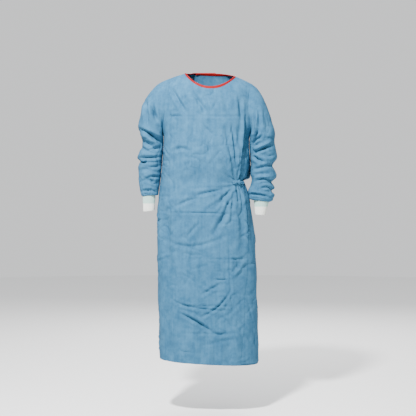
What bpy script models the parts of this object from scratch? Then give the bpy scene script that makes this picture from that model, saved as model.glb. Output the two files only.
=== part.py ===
"""Surgical gown, filled out as worn: thin cloth walls round an open hollow.

Metres, +Z up. The front faces -Y and the gown's own left side is +X. The origin is on the
shoulder line beside the neck, where the gown is carried. Every panel is cut from one body
surface, which is addressed by an angle round the body and a station down it.
"""
import math
from collections import namedtuple

import bpy
import numpy as np

# Cloth
CLOTH = 0.0016
SEAM_GAP = 0.0003
LAYER = 0.004          # how far the outer back panel stands off what it covers
LAYER_ANGLES = (239.0, 219.0)

# Neck, shoulders and armholes
NECK_MID_X = 0.011
NECK_MID_Y = -0.013
NECK_HALF_WIDTH = 0.112
NECK_HALF_DEPTH = 0.085
NECK_SIDE_Z = 0.0045
NECK_LEFT_DROP = 0.0065
NECK_FRONT_Z = -0.060
NECK_BACK_Z = 0.022
NECK_ROUNDNESS = 1.6   # how the neck line dips from beside the neck to its front and back
BINDING_WIDTH = 0.010
BINDING_PROUD = 0.0006
BINDING_BEVEL = 0.0015
SHOULDER_DROP = 0.0345
CHEST_DROP = 0.030     # the line from the neck bends this much lower in front and behind
SHOULDER_REACH = 0.020
SHOULDER_PULL = 4.4    # how tightly the line turns at the shoulder, over its pull in front
FRONT_PULL = 0.6
EVENING = 0.75         # evens out the stations, which the shoulder bunches at the sides
ARMHOLE_ANGLE = 60.0   # the armhole starts this far round from the front and from the back
ARMHOLE_TOP = 0.35
ARMHOLE_MID = 0.75
LOWER_ROUNDING = 0.8    # how round the armhole is at its lowest
ARMHOLE_FLARE = 0.010
ARMHOLE_FADE = 0.012
ARMHOLE_BELOW = 0.9    # stations over which the rows level out under an armhole

# Length
UNDERARM_Z = -0.275
LENGTH = 1.333
HEM_TILT = 0.012       # the hem hangs lower on the left
OUTER_HEM_LIFT = 0.008
LIFT_STATION = 4.0     # the outer panel's hem lift starts here
WAIST_Z = -0.492

# Cloth that bags over the waist tie
Bulge = namedtuple("Bulge", "angle width height")
SIDE_BULGE = Bulge(108.0, 26.0, 0.026)
BACK_BULGE = Bulge(165.0, 50.0, 0.010)
BULGE_TOP_Z = (-0.320, -0.455)
BULGE_FOOT_Z = (-0.494, -0.468)
PINCH = Bulge(80.0, 40.0, 0.006)
PINCH_HEIGHT = 0.013

# Waist tie
KNOT_ANGLE = 53.0
KNOT_Z = -0.500
TIE_WIDTH = 0.015
TIE_SLACK = 0.0008
TIE_COLUMNS = (12.0, 9.0, 6.2, 3.4)   # degrees from the knot to the front stretch's columns
TIE_END_ANGLE = 0.8    # the outer stretch starts this far inside the panel's edge
TIE_CLEAR = (4.0, 6.0)   # degrees kept from the knot and the panel's edge to the nearest column
KNOT_HALF_SIZE = (0.0085, 0.0095, 0.0055)
KNOT_NIP = 0.16        # how far the knot is drawn in at its middle
KNOT_RINGS = 7
KNOT_SEGMENTS = 14
KNOT_STANDOFF = 0.0004

SQUARENESS = 2.4       # of the body's plan: 2 is an ellipse

# The body's width and depth, down from the underarm
Section = namedtuple("Section", "z right left front back")
SECTIONS = [
    Section(-0.275, -0.203, 0.192, -0.130, 0.125),
    Section(-0.340, -0.209, 0.192, -0.137, 0.127),
    Section(-0.400, -0.213, 0.186, -0.139, 0.128),
    Section(-0.450, -0.217, 0.173, -0.134, 0.122),
    Section(-0.492, -0.221, 0.167, -0.126, 0.112),
    Section(-0.540, -0.228, 0.180, -0.131, 0.122),
    Section(-0.600, -0.234, 0.195, -0.138, 0.138),
    Section(-0.700, -0.236, 0.209, -0.142, 0.150),
    Section(-0.850, -0.236, 0.220, -0.143, 0.156),
    Section(-1.000, -0.233, 0.225, -0.143, 0.158),
    Section(-1.200, -0.227, 0.231, -0.145, 0.161),
    Section(-1.345, -0.224, 0.233, -0.147, 0.163),
]

# Stations down a sleeve: the outer and inner points of its front view, and its depth
Ring = namedtuple("Ring", "out_x out_z in_x in_z front back")
SLEEVE_LEFT = [
    Ring(0.205, -0.038, 0.200, -0.275, -0.072, 0.074),
    Ring(0.232, -0.061, 0.2045, -0.283, -0.075, 0.074),
    Ring(0.256, -0.097, 0.2030, -0.291, -0.077, 0.073),
    Ring(0.274, -0.138, 0.2015, -0.299, -0.078, 0.072),
    Ring(0.289, -0.180, 0.2000, -0.309, -0.078, 0.070),
    Ring(0.300, -0.222, 0.1990, -0.320, -0.077, 0.068),
    Ring(0.313, -0.268, 0.1980, -0.334, -0.076, 0.066),
    Ring(0.311, -0.312, 0.1975, -0.352, -0.074, 0.064),
    Ring(0.319, -0.352, 0.1980, -0.374, -0.074, 0.062),
    Ring(0.322, -0.385, 0.2000, -0.398, -0.074, 0.060),
    Ring(0.303, -0.420, 0.2045, -0.423, -0.070, 0.054),
    Ring(0.318, -0.450, 0.2080, -0.448, -0.072, 0.054),
    Ring(0.320, -0.474, 0.2085, -0.472, -0.072, 0.052),
    Ring(0.298, -0.498, 0.203, -0.496, -0.066, 0.042),
    Ring(0.312, -0.524, 0.198, -0.520, -0.069, 0.042),
    Ring(0.301, -0.541, 0.197, -0.537, -0.066, 0.036),
    Ring(0.313, -0.558, 0.193, -0.553, -0.068, 0.036),
    Ring(0.306, -0.575, 0.196, -0.568, -0.068, 0.026),
    Ring(0.299, -0.586, 0.203, -0.577, -0.066, 0.014),
    Ring(0.286, -0.592, 0.212, -0.583, -0.062, 0.004),
]
SLEEVE_RIGHT = [
    Ring(-0.207, -0.027, -0.213, -0.275, -0.072, 0.074),
    Ring(-0.236, -0.043, -0.2160, -0.284, -0.075, 0.074),
    Ring(-0.264, -0.070, -0.2155, -0.291, -0.077, 0.073),
    Ring(-0.289, -0.105, -0.2145, -0.298, -0.078, 0.072),
    Ring(-0.306, -0.143, -0.2135, -0.306, -0.078, 0.070),
    Ring(-0.317, -0.186, -0.2128, -0.316, -0.077, 0.068),
    Ring(-0.327, -0.240, -0.2125, -0.328, -0.076, 0.066),
    Ring(-0.314, -0.277, -0.2125, -0.342, -0.073, 0.063),
    Ring(-0.308, -0.306, -0.2128, -0.358, -0.072, 0.062),
    Ring(-0.315, -0.340, -0.2138, -0.374, -0.074, 0.060),
    Ring(-0.330, -0.381, -0.2152, -0.392, -0.076, 0.058),
    Ring(-0.318, -0.404, -0.2170, -0.409, -0.070, 0.053),
    Ring(-0.327, -0.430, -0.2195, -0.431, -0.073, 0.052),
    Ring(-0.325, -0.469, -0.2240, -0.467, -0.071, 0.046),
    Ring(-0.322, -0.507, -0.2310, -0.502, -0.068, 0.036),
    Ring(-0.315, -0.541, -0.2380, -0.534, -0.065, 0.024),
    Ring(-0.309, -0.560, -0.2400, -0.553, -0.063, 0.012),
    Ring(-0.306, -0.5645, -0.2430, -0.5600, -0.060, 0.004),
]

# Each cuff runs from its sleeve's last ring to this one
CUFF_LEFT_END = Ring(0.268, -0.654, 0.218, -0.650, -0.060, -0.010)
CUFF_RIGHT_END = Ring(-0.303, -0.636, -0.248, -0.632, -0.062, -0.008)
CUFF_RIBS = 30
RIB_HEIGHT = 0.0012
CUFF_INSET = 0.0012     # the cuff sits inside the sleeve's end

# Free edge of the outer back panel: angle round the body at a station
Edge = namedtuple("Edge", "station angle")
OUTER_EDGE = [
    Edge(0.00, 166.0), Edge(0.60, 160.0), Edge(0.90, 146.0), Edge(1.10, 134.0),
    Edge(1.40, 115.0), Edge(1.70, 97.0), Edge(1.90, 82.0), Edge(2.10, 68.0),
    Edge(2.35, 61.0), Edge(2.80, 57.0), Edge(3.25, 53.0), Edge(3.65, 50.5),
    Edge(4.05, 46.5), Edge(4.70, 42.0), Edge(5.42, 36.5),
]
INNER_EDGE_ANGLE = 215.0

# Main folds: a start, a middle and an end in the front view, half width and depth.
# A negative depth is a ridge.
Fold = namedtuple("Fold", "x0 z0 x1 z1 x2 z2 width depth")
FRONT_FOLDS = [
    # drawn in to the knot from above
    Fold(0.175, -0.110, 0.160, -0.300, 0.143, -0.489, 0.012, 0.010),
    Fold(0.140, -0.250, 0.131, -0.355, 0.129, -0.489, 0.010, 0.008),
    Fold(0.080, -0.250, 0.105, -0.380, 0.122, -0.486, 0.013, 0.005),
    Fold(0.040, -0.330, 0.080, -0.420, 0.112, -0.488, 0.016, 0.004),
    Fold(0.168, -0.190, 0.152, -0.330, 0.137, -0.480, 0.009, -0.007),
    # let out of the knot below
    Fold(0.127, -0.514, 0.136, -0.545, 0.143, -0.610, 0.010, 0.009),
    Fold(0.113, -0.528, 0.085, -0.556, 0.050, -0.585, 0.014, 0.006),
    Fold(0.110, -0.570, 0.092, -0.600, 0.070, -0.655, 0.014, 0.006),
    Fold(0.110, -0.523, 0.020, -0.545, -0.085, -0.570, 0.013, 0.006),
    Fold(0.101, -0.551, 0.060, -0.590, 0.018, -0.625, 0.015, 0.006),
    Fold(-0.040, -0.577, -0.095, -0.588, -0.166, -0.622, 0.013, 0.005),
    # chest
    Fold(-0.170, -0.068, -0.137, -0.129, -0.100, -0.187, 0.015, 0.008),
    Fold(-0.060, -0.088, -0.016, -0.139, 0.040, -0.190, 0.015, 0.006),
    Fold(-0.184, -0.363, -0.133, -0.335, -0.077, -0.358, 0.014, 0.007),
    # skirt
    Fold(0.099, -0.611, 0.060, -0.680, 0.022, -0.745, 0.020, 0.009),
    Fold(-0.040, -0.690, -0.070, -0.720, -0.100, -0.760, 0.016, 0.006),
    Fold(-0.185, -0.765, -0.067, -0.795, 0.090, -0.742, 0.020, 0.007),
    Fold(-0.169, -1.032, -0.083, -1.070, 0.110, -1.087, 0.015, 0.006),
    Fold(-0.129, -1.101, -0.055, -1.135, 0.030, -1.192, 0.015, 0.010),
    Fold(-0.046, -1.124, 0.050, -1.065, 0.106, -0.990, 0.014, 0.008),
    Fold(-0.200, -0.600, -0.192, -0.740, -0.186, -0.900, 0.022, 0.008),
    Fold(-0.185, -1.080, -0.180, -1.200, -0.178, -1.340, 0.020, 0.006),
    Fold(-0.022, -1.180, -0.028, -1.260, -0.030, -1.345, 0.022, 0.006),
    Fold(0.085, -1.150, 0.092, -1.240, 0.094, -1.345, 0.022, 0.006),
]
BACK_FOLDS = [
    Fold(0.150, -0.505, 0.090, -0.600, 0.060, -0.760, 0.018, 0.008),
    Fold(0.165, -0.510, 0.140, -0.640, 0.125, -0.860, 0.018, 0.008),
    Fold(0.120, -0.500, 0.010, -0.560, -0.120, -0.640, 0.018, 0.007),
    Fold(0.130, -0.250, 0.105, -0.360, 0.125, -0.480, 0.016, 0.008),
    Fold(0.060, -0.200, 0.050, -0.340, 0.085, -0.480, 0.018, 0.008),
    Fold(-0.020, -0.180, -0.030, -0.330, 0.000, -0.480, 0.020, 0.007),
    Fold(-0.120, -0.160, -0.130, -0.320, -0.110, -0.500, 0.020, 0.007),
    Fold(-0.080, -0.700, -0.075, -1.000, -0.085, -1.345, 0.026, 0.010),
    Fold(0.030, -0.760, 0.025, -1.050, 0.030, -1.345, 0.026, 0.009),
    Fold(-0.170, -0.650, -0.175, -0.950, -0.180, -1.345, 0.024, 0.009),
    Fold(0.140, -0.850, 0.145, -1.100, 0.150, -1.345, 0.024, 0.009),
]
SLEEVE_LEFT_FOLDS = [
    Fold(0.207, -0.368, 0.245, -0.345, 0.300, -0.325, 0.012, 0.008),
    Fold(0.207, -0.322, 0.217, -0.300, 0.232, -0.262, 0.010, 0.008),
    Fold(0.212, -0.446, 0.255, -0.430, 0.305, -0.422, 0.011, 0.006),
    Fold(0.220, -0.497, 0.255, -0.486, 0.300, -0.498, 0.010, 0.007),
]
SLEEVE_RIGHT_FOLDS = [
    Fold(-0.322, -0.251, -0.262, -0.285, -0.215, -0.327, 0.014, 0.010),
    Fold(-0.325, -0.386, -0.276, -0.392, -0.226, -0.410, 0.012, 0.009),
    Fold(-0.287, -0.135, -0.278, -0.180, -0.272, -0.230, 0.014, 0.006),
]

# How finely the body surface is cut, round it and down it
QUARTER_STEPS = 4
Band = namedtuple("Band", "start end steps")
ANGLE_BANDS = [
    Band(-ARMHOLE_ANGLE, 24.0, 13),
    Band(24.0, ARMHOLE_ANGLE, 10),
    Band(180.0 - ARMHOLE_ANGLE, 180.0 + ARMHOLE_ANGLE, 13),
]
UPPER_STEPS = 6
HEIGHT_BANDS = [
    Band(-0.223, -0.440, 7),
    Band(-0.440, -0.485, 3),
    Band(-0.485, -0.515, 4),
    Band(-0.515, -0.560, 3),
    Band(-0.560, -LENGTH, 16),
]
SLEEVE_STEPS = 22
HELD_RINGS = 4            # over these rings a sleeve keeps the armhole's form
FOLD_START = (2.5, 5.5)   # the sleeve rings between which its folds begin

LOOP_STEPS = 96           # points round an armhole's loop
FRONT_SHARE = (-0.10, 0.30)   # cosines of the angle at which the back's folds give way to the front's
SLEEVE_SHARE = (-0.1, 0.5)    # the same for a sleeve's turn, whose folds are all in front

STATION_SPAN = 0.24
LAST_STATION = 1 + (LENGTH + UNDERARM_Z) / STATION_SPAN
SEAM_ANGLE = 0.0013    # radians either side of a side seam
SLOPE_STEP = 0.0004
FOLD_STRETCHES = 6
FOLD_END_SHARE = 0.06
LIP_HEIGHT = 0.35      # the soft rise beside a fold, over the fold's depth
LIP_PLACE = 1.9
CALM_STATIONS = (0.25, 0.60)   # the neck's edge stays free of folds
OUTER_START_ANGLE = 33.0


def smooth(keys, values, at):
    """A cubic through a table's values."""
    keys = np.asarray(keys, float)
    values = np.asarray(values, float)
    slopes = np.gradient(values, keys)
    at = np.clip(at, keys[0], keys[-1])
    low = np.clip(np.searchsorted(keys, at) - 1, 0, len(keys) - 2)
    step = keys[low + 1] - keys[low]
    t = (at - keys[low]) / step
    return ((2 * t**3 - 3 * t**2 + 1) * values[low]
            + (t**3 - 2 * t**2 + t) * step * slopes[low]
            + (3 * t**2 - 2 * t**3) * values[low + 1]
            + (t**3 - t**2) * step * slopes[low + 1])


def ease(low, high, at):
    """0 below low, 1 above high, smooth between; low may be the larger."""
    t = np.clip((at - low) / (high - low), 0, 1)
    return t * t * (3 - 2 * t)


def bell(offset, width):
    return np.exp(-(offset / width) ** 2)


def body_outline(angle):
    """Plan view of a unit body, angle 0 in front and 90 degrees on the left."""
    side, front = np.sin(angle), np.cos(angle)
    reach = (np.abs(side) ** SQUARENESS + np.abs(front) ** SQUARENESS) ** (-1 / SQUARENESS)
    return side * reach, -front * reach


def body_section(angle, z):
    depths = [-row.z for row in SECTIONS]
    right, left, front, back = (
        smooth(depths, [getattr(row, name) for row in SECTIONS], -z)
        for name in ("right", "left", "front", "back"))
    across, along = body_outline(angle)
    x = (left + right) / 2 + (left - right) / 2 * across
    y = (front + back) / 2 + (back - front) / 2 * along
    return np.stack([x, y, z], axis=-1)


def neck_ring(angle):
    side, front = np.sin(angle), np.cos(angle)
    beside = NECK_SIDE_Z - NECK_LEFT_DROP * side
    end = np.where(front > 0, NECK_FRONT_Z, NECK_BACK_Z)
    z = beside + (end - beside) * np.abs(front) ** NECK_ROUNDNESS
    return np.stack([NECK_MID_X + NECK_HALF_WIDTH * side,
                     NECK_MID_Y - NECK_HALF_DEPTH * front, z], axis=-1)


def shoulder_corner(angle, neck, chest):
    """The point that a line from the neck to the chest bends towards, and how strongly."""
    side = np.abs(np.sin(angle))
    corner = chest.copy()
    corner[..., 0] += SHOULDER_REACH * np.sign(np.sin(angle)) * side**4
    corner[..., 2] = neck[..., 2] - SHOULDER_DROP - CHEST_DROP * np.cos(angle) ** 2
    return corner, FRONT_PULL + SHOULDER_PULL * side**6


def side_evening(angle):
    return EVENING * np.abs(np.sin(angle)) ** 6


def plain_body(angle, station):
    """Station 0 is the neck edge, 1 the underarm level, and beyond it the skirt."""
    angle, station = np.broadcast_arrays(angle, station)
    neck = neck_ring(angle)
    chest = body_section(angle, np.full(angle.shape, UNDERARM_Z))
    corner, pull = shoulder_corner(angle, neck, chest)
    t = np.minimum(station, 1)
    even = side_evening(angle)
    t = (t + even * (ease(0, 1, t) - t))[..., None]
    pull = pull[..., None]
    parts = ((1 - t) ** 2, 2 * t * (1 - t) * pull, t**2)
    upper = (parts[0] * neck + parts[1] * corner + parts[2] * chest) / sum(parts)
    span = STATION_SPAN + HEM_TILT * np.sin(angle) / (LAST_STATION - 1)
    lower = body_section(angle, UNDERARM_Z - (np.maximum(station, 1) - 1) * span)
    return np.where(station[..., None] <= 1, upper, lower)


def slopes_normal(surface, first, second):
    """Outward normal of surface(first, second) from four points round each."""
    one = surface(first + SLOPE_STEP, second) - surface(first - SLOPE_STEP, second)
    two = surface(first, second - SLOPE_STEP) - surface(first, second + SLOPE_STEP)
    normal = np.cross(one, two)
    return normal / np.maximum(np.linalg.norm(normal, axis=-1, keepdims=True), 1e-12)


def fold_depth(points, folds):
    """How far the folds push in the points that face them."""
    flat = points.reshape(-1, 3)[:, [0, 2]]
    total = np.zeros(len(flat))
    t = np.linspace(0, 1, FOLD_STRETCHES + 1)[:, None]
    for fold in folds:
        start, middle, end = np.array([fold[0:2], fold[2:4], fold[4:6]])
        bend = 2 * middle - (start + end) / 2
        line = (1 - t) ** 2 * start + 2 * t * (1 - t) * bend + t**2 * end
        offset = np.full(len(flat), np.inf)
        along = np.zeros(len(flat))
        for k, (a, b) in enumerate(zip(line[:-1], line[1:])):
            share = np.clip((flat - a) @ (b - a) / ((b - a) @ (b - a)), 0, 1)
            gap = np.linalg.norm(flat - a - share[:, None] * (b - a), axis=1)
            along = np.where(gap < offset, (k + share) / FOLD_STRETCHES, along)
            offset = np.minimum(gap, offset)
        taper = np.sin(np.pi * (FOLD_END_SHARE + (1 - 2 * FOLD_END_SHARE) * along))
        lip = LIP_HEIGHT * bell(offset - LIP_PLACE * fold.width, fold.width)
        total += fold.depth * taper * (bell(offset, fold.width) - lip)
    return total.reshape(points.shape[:-1])


def blouse(angle, z):
    """Cloth that bags over the waist tie, on the left side and less so across the back."""
    degrees = np.degrees(angle) % 360
    out = sum(b.height * bell(degrees - b.angle, b.width) for b in (SIDE_BULGE, BACK_BULGE))
    pinch = PINCH.height * bell(z - WAIST_Z, PINCH_HEIGHT) * bell(degrees - PINCH.angle, PINCH.width)
    return ease(*BULGE_TOP_Z, z) * ease(*BULGE_FOOT_Z, z) * out - pinch


def armhole_station(angle, lower):
    """The armhole's edge, above or below its front and back points."""
    from_side = np.abs((np.degrees(angle) % 180) - 90)
    along = np.clip(from_side / (90 - ARMHOLE_ANGLE), 0, 1)
    rise = np.sqrt(1 - along**2)
    if lower:
        return ARMHOLE_MID + (1 - ARMHOLE_MID) * rise**LOWER_ROUNDING
    return ARMHOLE_MID - (ARMHOLE_MID - ARMHOLE_TOP) * rise


def armhole_angles(side, count):
    """Angles and stations round one armhole, from its top by the front to the top again."""
    turn = np.arange(count) * 2 * math.pi / count
    angle = np.radians(side * 90 - side * (90 - ARMHOLE_ANGLE) * np.sin(turn))
    rise = np.cos(turn)
    station = np.where(rise >= 0, ARMHOLE_MID - (ARMHOLE_MID - ARMHOLE_TOP) * rise,
                       ARMHOLE_MID + (1 - ARMHOLE_MID) * np.abs(rise) ** LOWER_ROUNDING)
    return angle, station


def armhole_flare(points):
    """Moves the body out along X where it turns into a sleeve."""
    moved = points.copy()
    for side in (-1, 1):
        edge = plain_body(*armhole_angles(side, LOOP_STEPS // 2))
        near = np.full(points.shape[:-1], np.inf)
        for point in edge:
            near = np.minimum(near, np.linalg.norm(points - point, axis=-1))
        reach = ARMHOLE_FLARE * np.exp(-near / ARMHOLE_FADE)
        moved[..., 0] += side * reach * (points[..., 0] * side > 0)
    return moved


def creased_body(angle, station):
    points = plain_body(angle, station)
    out = slopes_normal(plain_body, angle, station)
    front = ease(*FRONT_SHARE, np.cos(angle))
    push = blouse(angle, points[..., 2])
    push = push - front * fold_depth(points, FRONT_FOLDS)
    push = push - (1 - front) * fold_depth(points, BACK_FOLDS)
    calm = ease(*CALM_STATIONS, station)
    return armhole_flare(points + out * (push * calm)[..., None])


def body_nodes():
    """Angles of the columns all round the body, in degrees from -90 to 270."""
    quarter = np.sin(np.arange(QUARTER_STEPS + 1) * math.pi / 2 / QUARTER_STEPS)
    reach = (90 - ARMHOLE_ANGLE) * quarter
    bands = [np.linspace(*band) for band in
             ((b.start, b.end, b.steps + 1) for b in ANGLE_BANDS)]
    front = np.concatenate([-90 + reach, bands[0][1:], bands[1][1:], (90 - reach[::-1])[1:]])
    back = np.concatenate([(90 + reach)[1:], bands[2][1:], (270 - reach[::-1])[1:]])
    return np.concatenate([front, back])


def lower_stations(angle):
    """Stations of the rows under the neck rows, which start at the armhole where there is one."""
    heights = [-np.linspace(b.start, b.end, b.steps + 1)[(0 if k == 0 else 1):]
               for k, b in enumerate(HEIGHT_BANDS)]
    share = (np.concatenate(heights) - heights[0][0]) / (LENGTH - heights[0][0])
    base = ARMHOLE_MID + (LAST_STATION - ARMHOLE_MID) * share
    shift = armhole_station(angle, True) - ARMHOLE_MID
    fade = np.clip(1 - (base - ARMHOLE_MID) / ARMHOLE_BELOW, 0, 1) ** 2
    return base[:, None] + fade[:, None] * shift[None, :]


def upper_stations(angle, start):
    share = np.linspace(0, 1, UPPER_STEPS + 1)[:, None]
    end = armhole_station(angle, False)
    return start + (end - start) * share


def binding_station(angle, width):
    """The station that lies a width below the neck edge."""
    neck = neck_ring(angle)
    chest = body_section(angle, np.full(angle.shape, UNDERARM_Z))
    corner, pull = shoulder_corner(angle, neck, chest)
    share = width / (2 * pull * np.linalg.norm(corner - neck, axis=-1))
    even = np.maximum(side_evening(angle), 1e-6)
    return (np.sqrt((1 - even) ** 2 + 12 * even * share) - 1 + even) / (6 * even)


def armhole_normals(points, normals, at_edge, side):
    """At an armhole the wall's thickness lies in the plane of the armhole."""
    middle = plain_body(*armhole_angles(side, LOOP_STEPS // 2)).mean(axis=0)
    away = points - middle
    away[..., 0] = 0
    away /= np.maximum(np.linalg.norm(away, axis=-1, keepdims=True), 1e-9)
    return np.where(at_edge[..., None], away, normals)


def grid_faces(ids):
    """Triangles of a grid of vertex numbers, all split the same way."""
    faces = []
    for j in range(ids.shape[0] - 1):
        for i in range(ids.shape[1] - 1):
            a, b, c, d = ids[j, i], ids[j + 1, i], ids[j + 1, i + 1], ids[j, i + 1]
            faces += [t for t in ((a, b, c), (a, c, d)) if len(set(t)) == 3]
    return faces


def material(name, colour, roughness):
    made = bpy.data.materials.new(name)
    made.use_nodes = True
    shader = made.node_tree.nodes["Principled BSDF"]
    shader.inputs["Base Color"].default_value = (*colour, 1)
    shader.inputs["Roughness"].default_value = roughness
    shader.inputs["Metallic"].default_value = 0
    return made


CLOTH_BLUE = material("nonwoven_blue", (0.155, 0.310, 0.440), 0.75)
KNIT_WHITE = material("knit_mint_white", (0.62, 0.72, 0.68), 0.90)
TAPE_RED = material("tape_red", (0.55, 0.055, 0.050), 0.70)


def add_object(name, points, faces, look):
    mesh = bpy.data.meshes.new(name)
    mesh.from_pydata([tuple(p) for p in points], [], faces)
    mesh.validate()
    mesh.shade_smooth()
    mesh.set_sharp_from_angle(angle=math.radians(50))
    mesh.materials.append(look)
    obj = bpy.data.objects.new(name, mesh)
    bpy.context.scene.collection.objects.link(obj)
    return obj


def add_wall(name, outer, inner, faces, look):
    """A wall between two like sets of points, closed all round its free edges."""
    count = len(outer)
    used = {}
    for face in faces:
        for k, a in enumerate(face):
            used[(face[k - 1], a)] = True
    rims = [(a, b) for a, b in used if (b, a) not in used]
    whole = [list(face) for face in faces]
    whole += [[count + v for v in reversed(face)] for face in faces]
    whole += [[b, a, count + a, count + b] for a, b in rims]
    points = np.concatenate([outer, inner])
    kept = sorted({v for face in whole for v in face})
    number = {v: k for k, v in enumerate(kept)}
    return add_object(name, points[kept], [[number[v] for v in f] for f in whole], look)


def outer_edge_angle(station):
    return smooth([row.station for row in OUTER_EDGE], [row.angle for row in OUTER_EDGE], station)


def layer_offset(degrees):
    """The outer panel leaves the body's own surface behind the right side."""
    return LAYER * ease(*LAYER_ANGLES, degrees)


def panel_blocks(degrees, edge=None, lift=0.0):
    """Angles and stations of a panel's neck block and its lower block."""
    angle = np.radians(degrees)
    start = binding_station(angle, BINDING_WIDTH)
    blocks = [upper_stations(angle, start), lower_stations(angle)]
    blocks[1] = blocks[1] - lift / STATION_SPAN * ease(LIFT_STATION, LAST_STATION, blocks[1])
    result = []
    for stations in blocks:
        wide = np.broadcast_to(degrees, stations.shape).copy()
        if edge is not None:
            wide = np.maximum(wide, edge(stations))
        result.append((wide, stations))
    return result


def add_panel(name, degrees, edge=None, layered=False, lift=0.0):
    """One body panel between two columns, or from a column to a free edge."""
    blocks = panel_blocks(degrees, edge, lift=lift)
    points, normals, offsets, ids = [], [], [], []
    first = 0
    for upper, (wide, stations) in zip((True, False), blocks):
        seam = np.radians(wide)
        for column, turn in ((0, 1), (-1, -1)):
            at_seam = abs((degrees[column] % 180) - 90) < 0.01 and (edge is None or column == 0)
            if at_seam:
                seam[:, column] += turn * SEAM_ANGLE * np.sign(degrees[-1] - degrees[0])
        where = creased_body(seam, stations)
        normal = slopes_normal(creased_body, seam, stations)
        from_side = np.abs((wide % 180) - 90)
        hole = from_side < 90 - ARMHOLE_ANGLE - 0.01
        row = np.zeros(hole.shape, bool)
        row[-1 if upper else 0] = True
        for side in (-1, 1):
            on_side = np.sin(seam) * side > 0
            at_edge = hole & row & on_side
            normal = armhole_normals(where, normal, at_edge, side)
            where[..., 0] -= side * SEAM_GAP / 2 * at_edge
        number = np.arange(where[..., 0].size).reshape(where.shape[:2]) + first
        if edge is not None:
            for j in range(wide.shape[0]):
                at_free_edge = np.flatnonzero(wide[j] > degrees + 1e-6)
                if len(at_free_edge):
                    number[j, at_free_edge] = number[j, at_free_edge[0]]
        if not upper:
            joined = ~hole[0]
            number[0, joined] = ids[0][-1, joined]
        first += where[..., 0].size
        ids.append(number)
        points.append(where.reshape(-1, 3))
        normals.append(normal.reshape(-1, 3))
        offsets.append((layer_offset(wide) if layered else 0 * wide).reshape(-1, 1))
    points, normals = np.concatenate(points), np.concatenate(normals)
    outer = points + normals * np.concatenate(offsets)
    if degrees[-1] < degrees[0]:
        ids = [number[:, ::-1] for number in ids]
    faces = grid_faces(ids[0]) + grid_faces(ids[1])
    return add_wall(name, outer, outer - normals * CLOTH, faces, CLOTH_BLUE)


def ring_values(rings, at):
    keys = np.arange(len(rings))
    return [smooth(keys, [getattr(ring, name) for ring in rings], at) for name in Ring._fields]


def ring_point(turn, out_x, out_z, in_x, in_z, front, back):
    """A sleeve's ring: 0 is outside, 90 degrees in front, 180 inside."""
    across, ahead = np.cos(turn), np.sin(turn)
    x = (out_x + in_x) / 2 + (out_x - in_x) / 2 * across
    z = (out_z + in_z) / 2 + (out_z - in_z) / 2 * across
    y = (front + back) / 2 + (front - back) / 2 * ahead
    return np.stack([x, y, z], axis=-1)


def sleeve_surface(side, rings):
    """Returns the sleeve as a function of the turn round it and the place along its rings."""
    loop = creased_body(*armhole_angles(side, LOOP_STEPS))
    loop = np.concatenate([loop, loop[:1]])
    turns = np.linspace(0, 2 * math.pi, LOOP_STEPS + 1)
    start = ring_point(turns, *ring_values(rings, np.zeros(LOOP_STEPS + 1)))
    change = loop - start

    def surface(turn, at):
        turn, at = np.broadcast_arrays(turn, at)
        point = ring_point(turn, *ring_values(rings, at))
        whole = turn % (2 * math.pi)
        moved = np.stack([np.interp(whole, turns, change[:, k]) for k in range(3)], axis=-1)
        hold = np.clip(1 - at / HELD_RINGS, 0, 1) ** 2
        return point + moved * hold[..., None]

    return surface


def add_sleeve(name, side, rings, folds):
    around = 4 * QUARTER_STEPS
    last = len(rings) - 1
    turn = (np.arange(around) * 2 * math.pi / around)[None, :]
    at = np.linspace(0, last, SLEEVE_STEPS + 1)[:, None]
    plain = sleeve_surface(side, rings)

    def creased(turns, places):
        points = plain(turns, places)
        out = slopes_normal(plain, turns, places) * -side
        turns, places = np.broadcast_arrays(turns, places)
        ahead = ease(*SLEEVE_SHARE, np.sin(turns))
        calm = ease(*FOLD_START, places) * ease(last, last - 1.5, places)
        push = fold_depth(points, folds) * ahead * calm
        return points - out * push[..., None]

    where = creased(turn, at)
    normal = slopes_normal(creased, turn, at) * -side
    edge = np.zeros(where.shape[:2], bool)
    edge[0] = True
    normal = armhole_normals(where, normal, edge, side)
    where[0, :, 0] += side * SEAM_GAP / 2
    normal[-1] = level_normals(where[-1])
    ids = np.arange(where[..., 0].size).reshape(where.shape[:2])
    ids = np.concatenate([ids, ids[:, :1]], axis=1)
    faces = grid_faces(ids)
    if side > 0:
        faces = [list(reversed(face)) for face in faces]
    outer = where.reshape(-1, 3)
    return add_wall(name, outer, outer - normal.reshape(-1, 3) * CLOTH, faces, CLOTH_BLUE)


def level_normals(ring):
    away = ring - ring.mean(axis=0)
    away[:, 2] = 0
    return away / np.linalg.norm(away, axis=1, keepdims=True)


def add_cuff(name, side, first, end):
    """A ribbed tube; the ribs stand on its outside only."""
    around = 2 * CUFF_RIBS
    turn = np.arange(around) * 2 * math.pi / around
    rows = []
    for t in (0, 0.5, 1):
        values = [a + (b - a) * t for a, b in zip(first, end)]
        ring = ring_point(turn, *values)
        ring[:, 2] -= SEAM_GAP
        rows.append(ring)
    where = np.stack(rows)
    out = np.stack([level_normals(ring) for ring in rows])
    rib = np.where(np.arange(around) % 2 == 0, 0.0, -RIB_HEIGHT) - CUFF_INSET
    outer = where + out * rib[None, :, None]
    inner = where - out * (CLOTH + RIB_HEIGHT + CUFF_INSET)
    ids = np.arange(where[..., 0].size).reshape(where.shape[:2])
    ids = np.concatenate([ids, ids[:, :1]], axis=1)
    faces = grid_faces(ids)
    if side > 0:
        faces = [list(reversed(face)) for face in faces]
    return add_wall(name, outer.reshape(-1, 3), inner.reshape(-1, 3), faces, KNIT_WHITE)


def binding_columns():
    """The panels' own columns, from the inner panel's edge by the front to the outer's."""
    columns = body_nodes()
    base = columns[columns < INNER_EDGE_ANGLE]
    lap = columns[(columns > OUTER_EDGE[0].angle) & (columns < 269)] - 360
    return np.concatenate([base[::-1], lap[::-1]])


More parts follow.
